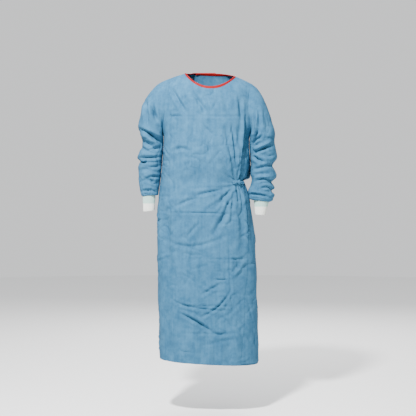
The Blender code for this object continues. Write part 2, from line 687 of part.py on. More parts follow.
def add_binding():
    """Folded tape round the neck; its outer end laps over its inner end at the back."""
    degrees = binding_columns()
    angle = np.radians(degrees)
    profile = [
        (BINDING_BEVEL, BINDING_PROUD),
        (BINDING_WIDTH - SEAM_GAP, BINDING_PROUD),
        (BINDING_WIDTH - SEAM_GAP, -CLOTH - BINDING_PROUD),
        (BINDING_BEVEL, -CLOTH - BINDING_PROUD),
        (0.0, -CLOTH / 2),
    ]
    lap = np.where(degrees < -90, layer_offset(degrees + 360), 0)
    rows = []
    for along, out in profile:
        station = binding_station(angle, along)
        point = plain_body(angle, station)
        rows.append(point + slopes_normal(plain_body, angle, station) * (out + lap)[:, None])
    where = np.stack(rows)
    count = len(angle)
    ids = np.arange(where[..., 0].size).reshape(where.shape[:2])
    faces = grid_faces(np.concatenate([ids, ids[:1]]))
    faces.append([int(v) for v in ids[::-1, 0]])
    faces.append([int(v) for v in ids[:, count - 1]])
    faces = [list(reversed(face)) for face in faces]
    return add_object("neck_binding", where.reshape(-1, 3), faces, TAPE_RED)


def laid_patch(name, degrees, station, low, look):
    """A flat piece that lies on a panel, made from the panel's points, moved out."""
    angle = np.radians(degrees)
    where = creased_body(angle, station)
    out = slopes_normal(creased_body, angle, station)
    ids = np.arange(where[..., 0].size).reshape(where.shape[:2])
    inner = where + out * low[..., None]
    outer = inner + out * CLOTH
    return add_wall(name, outer.reshape(-1, 3), inner.reshape(-1, 3), grid_faces(ids), look)


def add_waist_ties():
    """Two short stretches of tie that meet at the knot, across the panel's own columns."""
    columns = body_nodes()
    rows = (1 + (UNDERARM_Z - KNOT_Z + np.array([-0.5, 0, 0.5]) * TIE_WIDTH)
            / STATION_SPAN)[:, None]
    edge = outer_edge_angle(rows)
    near = columns[(columns > KNOT_ANGLE + TIE_CLEAR[0]) & (columns < edge.min() - TIE_CLEAR[1])]
    near = np.concatenate([[KNOT_ANGLE + TIE_COLUMNS[-1]], near])
    outer_columns = np.hstack([np.broadcast_to(near, (len(rows), len(near))),
                               edge - TIE_END_ANGLE])
    front_columns = KNOT_ANGLE - np.array(TIE_COLUMNS)[None, :]
    for name, across, slack in (("waist_tie_outer", outer_columns, 2 * TIE_SLACK),
                                ("waist_tie_front", front_columns, TIE_SLACK)):
        degrees, station = np.broadcast_arrays(across, rows)
        low = SEAM_GAP + TIE_SLACK + slack * np.linspace(0, 1, degrees.shape[1])
        laid_patch(name, degrees, station, np.broadcast_to(low, degrees.shape), CLOTH_BLUE)


def add_knot():
    angle = np.radians(KNOT_ANGLE)
    station = 1 + (UNDERARM_Z - KNOT_Z) / STATION_SPAN
    seat = creased_body(np.array([angle]), np.array([station]))[0]
    out = slopes_normal(creased_body, np.array([angle]), np.array([station]))[0]
    beside = np.cross([0, 0, 1.0], out)
    beside /= np.linalg.norm(beside)
    upward = np.cross(out, beside)
    size = KNOT_HALF_SIZE
    middle = seat + out * (size[2] + KNOT_STANDOFF)
    ball = []
    faces = []
    segments = KNOT_SEGMENTS
    for j in range(1, KNOT_RINGS):
        tilt = math.pi * j / KNOT_RINGS
        for i in range(segments):
            turn = 2 * math.pi * i / segments
            waist = 1 - KNOT_NIP * math.cos(2 * turn) * math.sin(tilt)
            ball.append((math.sin(tilt) * math.cos(turn) * waist,
                         math.sin(tilt) * math.sin(turn) * waist, math.cos(tilt)))
    top, bottom = len(ball), len(ball) + 1
    ball += [(0, 0, 1), (0, 0, -1)]
    for j in range(KNOT_RINGS - 2):
        for i in range(segments):
            n = (i + 1) % segments
            faces.append([j * segments + i, (j + 1) * segments + i,
                          (j + 1) * segments + n, j * segments + n])
    last = (KNOT_RINGS - 2) * segments
    for i in range(segments):
        n = (i + 1) % segments
        faces.append([top, i, n])
        faces.append([bottom, last + n, last + i])
    points = [middle + size[0] * p[0] * beside + size[1] * p[1] * upward + size[2] * p[2] * out
              for p in ball]
    return add_object("waist_knot", np.array(points), faces, CLOTH_BLUE)


def main():
    for obj in list(bpy.data.objects):
        bpy.data.objects.remove(obj)
    columns = body_nodes()
    side = int(np.argmin(np.abs(columns - 90)))
    inner_end = int(np.argmin(np.abs(columns - INNER_EDGE_ANGLE)))
    front_columns = columns[:side + 1]
    outer_columns = columns[columns > OUTER_START_ANGLE]
    add_panel("front_panel", front_columns)
    add_panel("back_panel_inner", columns[side:inner_end + 1])
    add_panel("back_panel_outer", outer_columns[::-1], edge=outer_edge_angle, layered=True,
              lift=OUTER_HEM_LIFT)
    add_sleeve("sleeve_left", 1, SLEEVE_LEFT, SLEEVE_LEFT_FOLDS)
    add_sleeve("sleeve_right", -1, SLEEVE_RIGHT, SLEEVE_RIGHT_FOLDS)
    add_cuff("cuff_left", 1, SLEEVE_LEFT[-1], CUFF_LEFT_END)
    add_cuff("cuff_right", -1, SLEEVE_RIGHT[-1], CUFF_RIGHT_END)
    add_binding()
    add_waist_ties()
    add_knot()


main()
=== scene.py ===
"""The look of the surgical gown: thin creased cloth on its solids' form, light and a camera.

Metres. The front faces -Y and the gown's own left side is +X, as in the frame.
"""
import math
from collections import namedtuple

import bpy
import numpy as np
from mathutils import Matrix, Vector


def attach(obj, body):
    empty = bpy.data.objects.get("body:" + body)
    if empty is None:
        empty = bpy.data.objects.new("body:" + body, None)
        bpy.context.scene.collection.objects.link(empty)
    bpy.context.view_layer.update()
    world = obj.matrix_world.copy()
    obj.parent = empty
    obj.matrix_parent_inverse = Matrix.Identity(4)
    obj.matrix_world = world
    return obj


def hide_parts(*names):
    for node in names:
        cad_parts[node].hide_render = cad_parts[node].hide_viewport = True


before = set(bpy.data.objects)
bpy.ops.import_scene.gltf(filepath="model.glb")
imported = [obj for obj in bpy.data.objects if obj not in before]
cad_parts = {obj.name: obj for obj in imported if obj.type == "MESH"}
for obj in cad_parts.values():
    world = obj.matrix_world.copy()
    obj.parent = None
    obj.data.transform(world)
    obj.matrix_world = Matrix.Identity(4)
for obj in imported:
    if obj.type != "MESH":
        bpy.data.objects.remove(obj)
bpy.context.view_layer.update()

# The body surface, with the same sizes as the solids. Angles are in degrees round the body, 0 at
# the front and 90 at the gown's left side.
LAYER = 0.004          # from the inner back panel out to the outer one
LAYER_ANGLES = (239.0, 219.0)
EDGE_LIFT = 0.0028     # the outer panel's free edge lies this far off the cloth under it
EDGE_REACH = 8.0
THIN = 0.0008          # the cloth's thickness here
SEAM_GAP = 0.0003
NECK_MID_X = 0.011
NECK_MID_Y = -0.013
NECK_HALF_WIDTH = 0.112
NECK_HALF_DEPTH = 0.085
NECK_SIDE_Z = 0.0045
NECK_LEFT_DROP = 0.0065
NECK_FRONT_Z = -0.060
NECK_BACK_Z = 0.022
NECK_DIP = 1.6
BINDING_WIDTH = 0.010
SHOULDER_DROP = 0.0345
CHEST_DROP = 0.030
SHOULDER_REACH = 0.020
SHOULDER_PULL = 4.4
FRONT_PULL = 0.6
EVENING = 0.75
ARMHOLE_ANGLE = 60.0
ARMHOLE_TOP = 0.35
ARMHOLE_MID = 0.75
LOWER_ROUNDING = 0.8
ARMHOLE_FLARE = 0.010
ARMHOLE_FADE = 0.012
ARMHOLE_BELOW = 0.9
UNDERARM_Z = -0.275
LENGTH = 1.333
HEM_TILT = 0.012
OUTER_HEM_LIFT = 0.008
LIFT_STATION = 4.0
LIFT_FADE = (270.0, 235.0)     # so that the hems meet at the side seam
WAIST_Z = -0.492
KNOT_ANGLE = 53.0
KNOT_Z = -0.500
TIE_WIDTH = 0.015
SQUARENESS = 2.4
STATION_SPAN = 0.24
LAST_STATION = 1 + (LENGTH + UNDERARM_Z) / STATION_SPAN
SLOPE_STEP = 0.0004
NO_LENGTH = 1e-12
ANGLE_SLACK = 0.01
CALM_STATIONS = (0.05, 0.20)   # folds begin this far below the neck edge
SEAM_CALM = (0.002, 0.026)     # and die out this near an armhole seam
OUTER_EDGE_ANGLE = 60.0
OUTER_SEAM_ANGLE = 270.0
INNER_EDGE_ANGLE = 215.0
HOLE_SIDE = 240.0      # the outer panel's columns beyond this angle meet the right armhole
ARM_RADIUS = 0.060
GIRTH_RADIUS = 0.200

# How the cloth hangs out over the waist tie, and is drawn in at it
Bulge = namedtuple("Bulge", "angle width height")
SIDE_BULGE = Bulge(108.0, 26.0, 0.026)
BACK_BULGE = Bulge(165.0, 50.0, 0.010)
BULGE_TOP_Z = (-0.320, -0.455)
BULGE_FOOT_Z = (-0.494, -0.468)
PINCH = Bulge(96.0, 30.0, 0.006)
PINCH_HEIGHT = 0.013

# The body's level sections below the underarm
Section = namedtuple("Section", "z right left front back")
SECTIONS = [Section(*row) for row in (
    (-0.275, -0.203, 0.192, -0.13, 0.125),
    (-0.34, -0.209, 0.192, -0.137, 0.127),
    (-0.4, -0.213, 0.186, -0.139, 0.128),
    (-0.45, -0.217, 0.173, -0.134, 0.122),
    (-0.492, -0.221, 0.167, -0.126, 0.112),
    (-0.54, -0.228, 0.18, -0.131, 0.122),
    (-0.6, -0.234, 0.195, -0.138, 0.138),
    (-0.7, -0.236, 0.209, -0.142, 0.15),
    (-0.85, -0.236, 0.22, -0.143, 0.156),
    (-1.000, -0.233, 0.225, -0.143, 0.158),
    (-1.2, -0.227, 0.231, -0.145, 0.161),
    (-1.345, -0.224, 0.233, -0.147, 0.163),
)]

# Rings down a sleeve: its outer and inner point in the front view, and its front and back Y
Ring = namedtuple("Ring", "out_x out_z in_x in_z front back")
SLEEVE_LEFT = [Ring(*row) for row in (
    (0.205, -0.038, 0.2, -0.275, -0.072, 0.074),
    (0.232, -0.061, 0.2045, -0.283, -0.075, 0.074),
    (0.256, -0.097, 0.203, -0.291, -0.077, 0.073),
    (0.274, -0.138, 0.2015, -0.299, -0.078, 0.072),
    (0.289, -0.18, 0.2, -0.309, -0.078, 0.07),
    (0.3, -0.222, 0.199, -0.32, -0.077, 0.068),
    (0.313, -0.268, 0.198, -0.334, -0.076, 0.066),
    (0.311, -0.312, 0.1975, -0.352, -0.074, 0.064),
    (0.319, -0.352, 0.198, -0.374, -0.074, 0.062),
    (0.322, -0.385, 0.2, -0.398, -0.074, 0.06),
    (0.303, -0.42, 0.2045, -0.423, -0.07, 0.054),
    (0.318, -0.45, 0.208, -0.448, -0.072, 0.054),
    (0.32, -0.474, 0.2085, -0.472, -0.072, 0.052),
    (0.298, -0.498, 0.203, -0.496, -0.066, 0.042),
    (0.312, -0.524, 0.198, -0.52, -0.069, 0.042),
    (0.301, -0.541, 0.197, -0.537, -0.066, 0.036),
    (0.313, -0.558, 0.193, -0.553, -0.068, 0.036),
    (0.306, -0.575, 0.196, -0.568, -0.068, 0.026),
    (0.299, -0.586, 0.203, -0.577, -0.066, 0.014),
    (0.286, -0.592, 0.212, -0.583, -0.062, 0.004),
)]
SLEEVE_RIGHT = [Ring(*row) for row in (
    (-0.207, -0.027, -0.213, -0.275, -0.072, 0.074),
    (-0.236, -0.043, -0.216, -0.284, -0.075, 0.074),
    (-0.264, -0.07, -0.2155, -0.291, -0.077, 0.073),
    (-0.289, -0.105, -0.2145, -0.298, -0.078, 0.072),
    (-0.306, -0.143, -0.2135, -0.306, -0.078, 0.07),
    (-0.317, -0.186, -0.2128, -0.316, -0.077, 0.068),
    (-0.327, -0.24, -0.2125, -0.328, -0.076, 0.066),
    (-0.314, -0.277, -0.2125, -0.342, -0.073, 0.063),
    (-0.308, -0.306, -0.2128, -0.358, -0.072, 0.062),
    (-0.315, -0.34, -0.2138, -0.374, -0.074, 0.06),
    (-0.33, -0.381, -0.2152, -0.392, -0.076, 0.058),
    (-0.318, -0.404, -0.217, -0.409, -0.07, 0.053),
    (-0.327, -0.43, -0.2195, -0.431, -0.073, 0.052),
    (-0.325, -0.469, -0.224, -0.467, -0.071, 0.046),
    (-0.322, -0.507, -0.231, -0.502, -0.068, 0.036),
    (-0.315, -0.541, -0.238, -0.534, -0.065, 0.024),
    (-0.309, -0.56, -0.24, -0.553, -0.063, 0.012),
    (-0.306, -0.5645, -0.243, -0.56, -0.06, 0.004),
)]
CUFF_LEFT_END = Ring(0.268, -0.654, 0.218, -0.650, -0.060, -0.010)
CUFF_RIGHT_END = Ring(-0.303, -0.636, -0.248, -0.632, -0.062, -0.008)

# The outer back panel's free edge
Edge = namedtuple("Edge", "station angle")
OUTER_EDGE = [Edge(*row) for row in (
    (0.00, 166.0), (0.6, 160.0), (0.9, 146.0), (1.1, 134.0),
    (1.4, 115.0), (1.7, 97.0), (1.9, 82.0), (2.1, 68.0),
    (2.35, 61.0), (2.8, 57.0), (3.25, 53.0), (3.65, 50.5),
    (4.05, 46.5), (4.7, 42.0), (5.42, 36.5),
)]

# Folds seen in the front view: a start, a middle and an end, half width, depth and how sharp
# the bottom is, from 0 round to 1 a crisp crease. A negative depth is a ridge.
Fold = namedtuple("Fold", "x0 z0 x1 z1 x2 z2 width depth crisp")
FRONT_FOLDS = [Fold(*row) for row in (
    # drawn in to the knot from above
    (0.176, -0.13, 0.166, -0.31, 0.145, -0.489, 0.007, 0.0075, 0.6),
    (0.108, -0.235, 0.125, -0.362, 0.13, -0.489, 0.006, 0.007, 0.7),
    (0.08, -0.25, 0.105, -0.38, 0.122, -0.486, 0.008, 0.005, 0.5),
    (0.04, -0.33, 0.08, -0.42, 0.112, -0.488, 0.015, 0.004, 0.0),
    (0.168, -0.19, 0.152, -0.33, 0.137, -0.48, 0.008, -0.006, 0.2),
    (0.186, -0.2, 0.178, -0.34, 0.152, -0.478, 0.006, 0.006, 0.7),
    (0.148, -0.115, 0.15, -0.16, 0.157, -0.21, 0.009, 0.005, 0.2),
    (0.152, -0.3, 0.143, -0.4, 0.136, -0.489, 0.006, 0.006, 0.8),
    (0.11, -0.33, 0.117, -0.41, 0.125, -0.488, 0.007, 0.004, 0.4),
    # let out of the knot below
    (0.127, -0.514, 0.136, -0.545, 0.143, -0.61, 0.006, 0.009, 0.7),
    (0.113, -0.528, 0.085, -0.556, 0.05, -0.585, 0.006, 0.005, 0.8),
    (0.11, -0.57, 0.092, -0.6, 0.07, -0.655, 0.006, 0.005, 0.8),
    (0.11, -0.523, 0.02, -0.545, -0.085, -0.57, 0.008, 0.005, 0.6),
    (0.101, -0.551, 0.06, -0.59, 0.018, -0.625, 0.009, 0.005, 0.5),
    (0.118, -0.514, 0.06, -0.524, -0.08, -0.532, 0.006, 0.0022, 0.6),
    (0.139, -0.512, 0.152, -0.56, 0.158, -0.64, 0.006, 0.007, 0.7),
    (0.119, -0.53, 0.112, -0.6, 0.108, -0.69, 0.006, 0.004, 0.6),
    (-0.04, -0.577, -0.095, -0.588, -0.166, -0.622, 0.008, 0.005, 0.6),
    # chest
    (-0.17, -0.064, -0.137, -0.122, -0.104, -0.18, 0.009, 0.008, 0.4),
    (-0.15, -0.06, -0.11, -0.115, -0.085, -0.15, 0.01, 0.003, 0.1),
    (-0.075, -0.085, -0.038, -0.138, -0.002, -0.19, 0.009, 0.006, 0.4),
    (-0.11, -0.15, -0.07, -0.23, -0.05, -0.3, 0.018, 0.003, 0.0),
    (-0.172, -0.366, -0.128, -0.347, -0.082, -0.361, 0.008, 0.0045, 0.4),
    (-0.03, -0.232, -0.004, -0.262, 0.022, -0.288, 0.007, 0.003, 0.3),
    (0.06, -0.08, 0.08, -0.13, 0.09, -0.18, 0.012, 0.003, 0.0),
    # skirt
    (0.099, -0.611, 0.06, -0.68, 0.022, -0.745, 0.011, 0.006, 0.5),
    (-0.04, -0.69, -0.07, -0.72, -0.1, -0.76, 0.008, 0.004, 0.6),
    (-0.185, -0.765, -0.067, -0.795, 0.09, -0.742, 0.009, 0.0032, 0.5),
    (0.167, -0.862, 0.14, -0.905, 0.107, -0.942, 0.008, -0.004, 0.3),
    (-0.169, -1.032, -0.083, -1.07, 0.11, -1.087, 0.006, 0.0042, 0.9),
    (-0.129, -1.101, -0.055, -1.135, 0.03, -1.192, 0.007, 0.0075, 0.9),
    (-0.115, -1.096, -0.045, -1.125, 0.035, -1.178, 0.008, -0.003, 0.2),
    (0.03, -1.19, 0.052, -1.196, 0.08, -1.194, 0.007, 0.004, 0.5),
    (-0.046, -1.124, 0.05, -1.065, 0.106, -0.99, 0.006, 0.006, 0.9),
    (-0.036, -1.018, 0.014, -0.99, 0.066, -0.96, 0.007, 0.0042, 0.6),
    (-0.2, -0.6, -0.192, -0.74, -0.186, -0.9, 0.018, 0.008, 0.0),
    (-0.185, -1.08, -0.18, -1.2, -0.178, -1.34, 0.018, 0.0035, 0.1),
    (-0.022, -1.18, -0.028, -1.26, -0.03, -1.345, 0.02, 0.0035, 0.1),
    (0.085, -1.15, 0.092, -1.24, 0.094, -1.345, 0.02, 0.0035, 0.1),
    (-0.075, -1.22, -0.08, -1.28, -0.082, -1.345, 0.016, 0.0025, 0.0),
    (0.03, -1.24, 0.034, -1.29, 0.036, -1.345, 0.014, 0.003, 0.0),
    (0.15, -0.62, 0.158, -0.7, 0.16, -0.8, 0.013, 0.005, 0.1),
    (0.185, -0.6, 0.196, -0.68, 0.2, -0.8, 0.012, 0.005, 0.1),
    # pressed in when the gown was folded flat
    (-0.18, -0.643, -0.04, -0.643, 0.11, -0.645, 0.005, 0.0026, 1.0),
    (-0.004, -0.852, 0.04, -0.853, 0.085, -0.853, 0.005, 0.0018, 1.0),
    (0.08, -0.853, 0.13, -0.854, 0.174, -0.853, 0.005, 0.004, 1.0),
    (0.014, -0.946, 0.055, -0.947, 0.098, -0.947, 0.005, 0.0028, 1.0),
    (0.093, -0.745, 0.1, -0.9, 0.107, -1.06, 0.005, 0.0028, 1.0),
    (-0.148, -1.066, 0.000, -1.066, 0.11, -1.067, 0.005, 0.0026, 1.0),
    (-0.163, -1.04, -0.164, -1.08, -0.165, -1.125, 0.005, 0.0028, 1.0),
    (-0.15, -1.19, 0.000, -1.192, 0.13, -1.19, 0.005, 0.0016, 1.0),
    (-0.2, -0.198, -0.155, -0.198, -0.1, -0.2, 0.005, 0.0036, 0.9),
    (-0.19, -0.172, -0.155, -0.174, -0.12, -0.174, 0.005, 0.002, 0.8),
    (-0.1, -0.2, 0.04, -0.201, 0.175, -0.198, 0.005, 0.0018, 0.9),
)]
BACK_FOLDS = [Fold(*row) for row in (
    (0.15, -0.505, 0.09, -0.6, 0.06, -0.76, 0.016, 0.008, 0.2),
    (0.165, -0.51, 0.14, -0.64, 0.125, -0.86, 0.016, 0.008, 0.2),
    (0.12, -0.5, 0.01, -0.56, -0.12, -0.64, 0.016, 0.007, 0.2),
    (0.13, -0.25, 0.105, -0.36, 0.125, -0.48, 0.014, 0.008, 0.2),
    (0.06, -0.2, 0.05, -0.34, 0.085, -0.48, 0.016, 0.008, 0.1),
    (-0.02, -0.18, -0.03, -0.33, 0.000, -0.48, 0.018, 0.007, 0.1),
    (-0.12, -0.16, -0.13, -0.32, -0.11, -0.5, 0.018, 0.007, 0.1),
    (-0.08, -0.7, -0.075, -1.000, -0.085, -1.345, 0.024, 0.01, 0.0),
    (0.03, -0.76, 0.025, -1.05, 0.03, -1.345, 0.024, 0.009, 0.0),
    (-0.17, -0.65, -0.175, -0.95, -0.18, -1.345, 0.022, 0.009, 0.0),
    (0.14, -0.85, 0.145, -1.1, 0.15, -1.345, 0.022, 0.009, 0.0),
    (0.15, -0.85, 0.000, -0.856, -0.17, -0.854, 0.004, 0.0025, 1.0),
    (0.11, -0.643, 0.000, -0.645, -0.15, -0.643, 0.004, 0.002, 1.0),
    (0.12, -1.06, 0.02, -1.11, -0.09, -1.13, 0.009, 0.006, 0.6),
    (-0.11, -1.01, -0.05, -1.07, 0.04, -1.12, 0.008, 0.005, 0.6),
    (0.11, -0.12, 0.08, -0.18, 0.04, -0.23, 0.012, 0.005, 0.2),
    (-0.15, -0.1, -0.11, -0.16, -0.06, -0.2, 0.012, 0.005, 0.2),
)]
SLEEVE_LEFT_FOLDS = [Fold(*row) for row in (
    (0.207, -0.368, 0.245, -0.349, 0.3, -0.33, 0.008, 0.008, 0.6),
    (0.213, -0.36, 0.25, -0.335, 0.295, -0.308, 0.007, -0.004, 0.2),
    (0.207, -0.322, 0.217, -0.3, 0.232, -0.262, 0.007, 0.014, 0.7),
    (0.204, -0.352, 0.212, -0.32, 0.246, -0.29, 0.006, 0.01, 0.7),
    (0.262, -0.372, 0.285, -0.38, 0.31, -0.372, 0.007, 0.003, 0.6),
    (0.205, -0.376, 0.225, -0.392, 0.262, -0.408, 0.007, 0.006, 0.6),
    (0.212, -0.446, 0.255, -0.43, 0.305, -0.422, 0.007, 0.005, 0.5),
    (0.218, -0.47, 0.26, -0.462, 0.3, -0.47, 0.008, 0.003, 0.3),
    (0.215, -0.5, 0.255, -0.486, 0.3, -0.498, 0.006, 0.006, 0.6),
    (0.245, -0.53, 0.275, -0.524, 0.303, -0.54, 0.006, 0.006, 0.4),
    (0.198, -0.562, 0.225, -0.556, 0.29, -0.572, 0.005, 0.006, 0.4),
    (0.222, -0.135, 0.232, -0.19, 0.24, -0.25, 0.01, 0.004, 0.1),
    (0.25, -0.15, 0.268, -0.21, 0.278, -0.27, 0.014, 0.003, 0.0),
    (0.214, -0.15, 0.215, -0.21, 0.213, -0.27, 0.006, 0.006, 0.3),
    (0.224, -0.17, 0.226, -0.215, 0.222, -0.262, 0.006, -0.004, 0.2),
)]
SLEEVE_RIGHT_FOLDS = [Fold(*row) for row in (
    (-0.322, -0.249, -0.262, -0.283, -0.21, -0.325, 0.009, 0.012, 0.6),
    (-0.326, -0.243, -0.28, -0.262, -0.24, -0.29, 0.008, -0.004, 0.1),
    (-0.325, -0.386, -0.276, -0.388, -0.222, -0.384, 0.007, 0.007, 0.6),
    (-0.222, -0.33, -0.24, -0.345, -0.27, -0.35, 0.007, 0.004, 0.6),
    (-0.222, -0.42, -0.25, -0.43, -0.29, -0.425, 0.007, 0.004, 0.6),
    (-0.225, -0.48, -0.25, -0.474, -0.285, -0.48, 0.006, 0.005, 0.6),
    (-0.326, -0.396, -0.3, -0.408, -0.28, -0.403, 0.005, 0.005, 0.5),
    (-0.289, -0.125, -0.286, -0.175, -0.28, -0.23, 0.008, 0.009, 0.4),
    (-0.256, -0.14, -0.248, -0.178, -0.238, -0.215, 0.008, 0.01, 0.5),
    (-0.31, -0.305, -0.27, -0.33, -0.225, -0.36, 0.01, 0.005, 0.2),
    (-0.318, -0.33, -0.29, -0.35, -0.24, -0.375, 0.009, 0.004, 0.2),
    (-0.322, -0.45, -0.285, -0.44, -0.24, -0.455, 0.009, 0.004, 0.2),
    (-0.318, -0.5, -0.28, -0.49, -0.245, -0.505, 0.008, 0.004, 0.3),
    (-0.312, -0.545, -0.28, -0.538, -0.25, -0.545, 0.006, 0.004, 0.3),
)]

# How a fold of the tables is drawn. Widths and places are in its own half widths.
FOLD_GAIN = 1.7
SLEEVE_GAIN = 2.0
FOLD_STRETCHES = 8     # straight stretches along its curve
FOLD_REACH = 4
FOLD_END_SHARE = 0.06
CRISP_WIDTH = 0.55
LIP_HEIGHT = 0.35      # the cloth beside a fold rises a little
LIP_PLACE = 1.9
FRONT_FACING = (-0.10, 0.30)   # cosines between which the back folds give way to the front ones
SIDE_CALM = 0.8                # folds are lower beside a sleeve
SIDE_CALM_WIDTH = 16.0
SIDE_CALM_Z = (-0.56, -0.46)

# Small wrinkles between the folds, from noise: the sizes of its cells, and heights
WARP_CELL = 0.09
WARP_SHIFT = 7.3
WARP_REACH = 0.35
SOFT_CELL = np.array([0.085, 0.085, 0.11])
SOFT_HEIGHT = 0.0062
RIDGE_CELL = 0.052
RIDGE_WIDTH = 0.055
RIDGE_HEIGHT = 0.0046
RIDGE_LEVEL = 0.25
PATCH_CELL = 0.15
PATCH_SHIFT = 3.7
PATCH_EDGES = (-0.06, 0.26)
SMALL_CELL = 0.027
SMALL_HEIGHT = 0.0026
CREASE_BEND = 0.10
CREASE_CRISP = 0.8

# Pleats that run out from the knot
Pleats = namedtuple("Pleats", "count phase share")
PLEAT_ROWS = (Pleats(13, 0.6, 1.0), Pleats(21, 2.1, 0.7))
PLEAT_HEIGHT = 0.0030
PLEAT_AWAY = 0.038
PLEAT_SPREAD = 0.028
PLEAT_SQUEEZE = 0.85
PLEAT_LEVEL = 0.45     # sideways, as a share of what it is up and down
PLEAT_FACING = -0.2    # none further round the body than this cosine

# Steps of the panels' grids
ARMHOLE_STEPS = 12
FRONT_STEPS = 128
BACK_INNER_STEPS = 84
BACK_OUTER_STEPS = 134
UPPER_STEPS = 34
LOWER_STEPS = 256
EVEN_SHARE = 0.8       # columns crowd towards the armhole up to this share of the way to it
EVEN_STATION = 1.7     # and are even again below this station
SHARP_EDGE = 60.0      # a wall's rim stays sharp

# Sleeves. Across runs from 1 on the outer side to -1 beside the body.
ARMHOLE_POINTS = 96
SLEEVE_AROUND = 132
SLEEVE_STEPS = 190
HELD_RINGS = 4         # the armhole's own shape fades over these rings
SLEEVE_FACING = (-0.2, 0.4)
BEHIND_GAIN = 0.7      # the front's folds show again behind, lower and moved a little
BEHIND_SHIFT = (-0.012, 0.008, -0.006)
SLEEVE_CRUMPLE = 1.25
UPPER_ARM_CALM = 0.6
UPPER_ARM_Z = (-0.320, -0.240)
TOP_CALM_RINGS = (0.4, 3.0)
END_CALM_RINGS = (0.1, -1.5)   # from the last ring
BESIDE_CALM = 0.6
BESIDE_ACROSS = (-0.60, -0.95)
LEAN_ANGLE = 14.0
LEAN_COLUMNS = 21
LEAN_ROWS = 60
LEAN_STATIONS = (0.8, 2.2)
LEAN_CLEAR = 0.0010
LEAN_MOST = 0.010
LEAN_GAPS = (0.026, 0.016)
LEAN_EVENING = 9       # rings that a lean is evened over
LEAN_ACROSS = (0.1, -0.8)
LEAN_RINGS = (0.3, 2.0)

# Cuffs. Heights are outward from the ring that the solid's points follow.
CUFF_RIBS = 44
RIB_STEPS = 6
CUFF_STEPS = 26
CUFF_OUTSIDE = -0.0022
CUFF_INSIDE = -0.0042
RIB_HEIGHT = 0.0006
CUFF_SAG = 0.0008
SAG_CELL = 0.03
SAG_SHARE = (0, 0.3)
CUFF_ROLL = 0.0012
ROLL_SHARE = (0.94, 1.0)

# Neck binding, and the profile round its folded tape
BINDING_STEPS = 260
BINDING_LAP = 1        # degrees past each panel's edge
Corner = namedtuple("Corner", "along out")
BINDING_PROFILE = [Corner(*row) for row in (
    (0.0006, -0.0008), (0.0, 0.0004), (0.0008, 0.0012), (0.0030, 0.0014), (0.0078, 0.0013),
    (0.0084, 0.0009), (0.0092, 0.0013), (BINDING_WIDTH, 0.0009), (BINDING_WIDTH, -0.0014),
    (0.0078, -0.0020), (0.0030, -0.0022), (0.0012, -0.0020))]
BINDING_RIPPLE = 0.0003
RIPPLE_CELL = 0.012
SHARP_TAPE = 50.0

# Ties and knot
TIE_ROWS = 9
TIE_CLEAR = 0.0010
TIE_LIFT = 0.0007
TIE_THICK = 0.0009
TIE_ARCH = 0.0006
TIE_RIPPLE = 0.0007
RIPPLES_A_DEGREE = 1.9
RIPPLE_SLANT = 120
KNOT_SIZE = np.array([0.0085, 0.0095, 0.0052])     # half of it: across, up and out
KNOT_CLEAR = 0.0012
KNOT_RINGS = 24
KNOT_SEGMENTS = 40
KNOT_WAIST = 0.18
WRAP_HEIGHT = 0.07
WRAP_TURNS = 3
WRAP_TWIST = 1.6
GROOVE_DEPTH = 0.16
GROOVE_WIDTH = 0.16
GROOVE_SLANT = 0.5


def smooth(keys, values, at):
    """A cubic through a table's values."""
    keys = np.asarray(keys, float)
    values = np.asarray(values, float)
    slopes = np.gradient(values, keys)
    at = np.clip(at, keys[0], keys[-1])
    low = np.clip(np.searchsorted(keys, at) - 1, 0, len(keys) - 2)
    step = keys[low + 1] - keys[low]
    t = (at - keys[low]) / step
    return ((2 * t**3 - 3 * t**2 + 1) * values[low]
            + (t**3 - 2 * t**2 + t) * step * slopes[low]
            + (3 * t**2 - 2 * t**3) * values[low + 1]
            + (t**3 - t**2) * step * slopes[low + 1])


def ease(low, high, at):
    """From 0 at low to 1 at high, with soft ends."""
    t = np.clip((at - low) / (high - low), 0, 1)
    return t * t * (3 - 2 * t)


def bell(offset, width):
    return np.exp(-(offset / width) ** 2)


def body_outline(angle):
    """A rounded oblong of half size 1."""
    side, front = np.sin(angle), np.cos(angle)
    reach = (np.abs(side) ** SQUARENESS + np.abs(front) ** SQUARENESS) ** (-1 / SQUARENESS)
    return side * reach, -front * reach


def body_section(angle, z):
    """Points on the body's sections at the given heights."""
    depths = [-row.z for row in SECTIONS]
    right, left, front, back = (
        smooth(depths, [getattr(row, name) for row in SECTIONS], -z)
        for name in ("right", "left", "front", "back"))
    across, along = body_outline(angle)
    x = (left + right) / 2 + (left - right) / 2 * across
    y = (front + back) / 2 + (back - front) / 2 * along
    return np.stack([x, y, z], axis=-1)


def neck_ring(angle):
    side, front = np.sin(angle), np.cos(angle)
    beside = NECK_SIDE_Z - NECK_LEFT_DROP * side
    end = np.where(front > 0, NECK_FRONT_Z, NECK_BACK_Z)
    z = beside + (end - beside) * np.abs(front) ** NECK_DIP
    return np.stack([NECK_MID_X + NECK_HALF_WIDTH * side,
                     NECK_MID_Y - NECK_HALF_DEPTH * front, z], axis=-1)


def shoulder_corner(angle, neck, chest):
    """The control point of the curve from neck to chest, and how strongly it pulls."""
    side = np.abs(np.sin(angle))
    corner = chest.copy()
    corner[..., 0] += SHOULDER_REACH * np.sign(np.sin(angle)) * side**4
    corner[..., 2] = neck[..., 2] - SHOULDER_DROP - CHEST_DROP * np.cos(angle) ** 2
    return corner, FRONT_PULL + SHOULDER_PULL * side**6


def side_evening(angle):
    return EVENING * np.abs(np.sin(angle)) ** 6


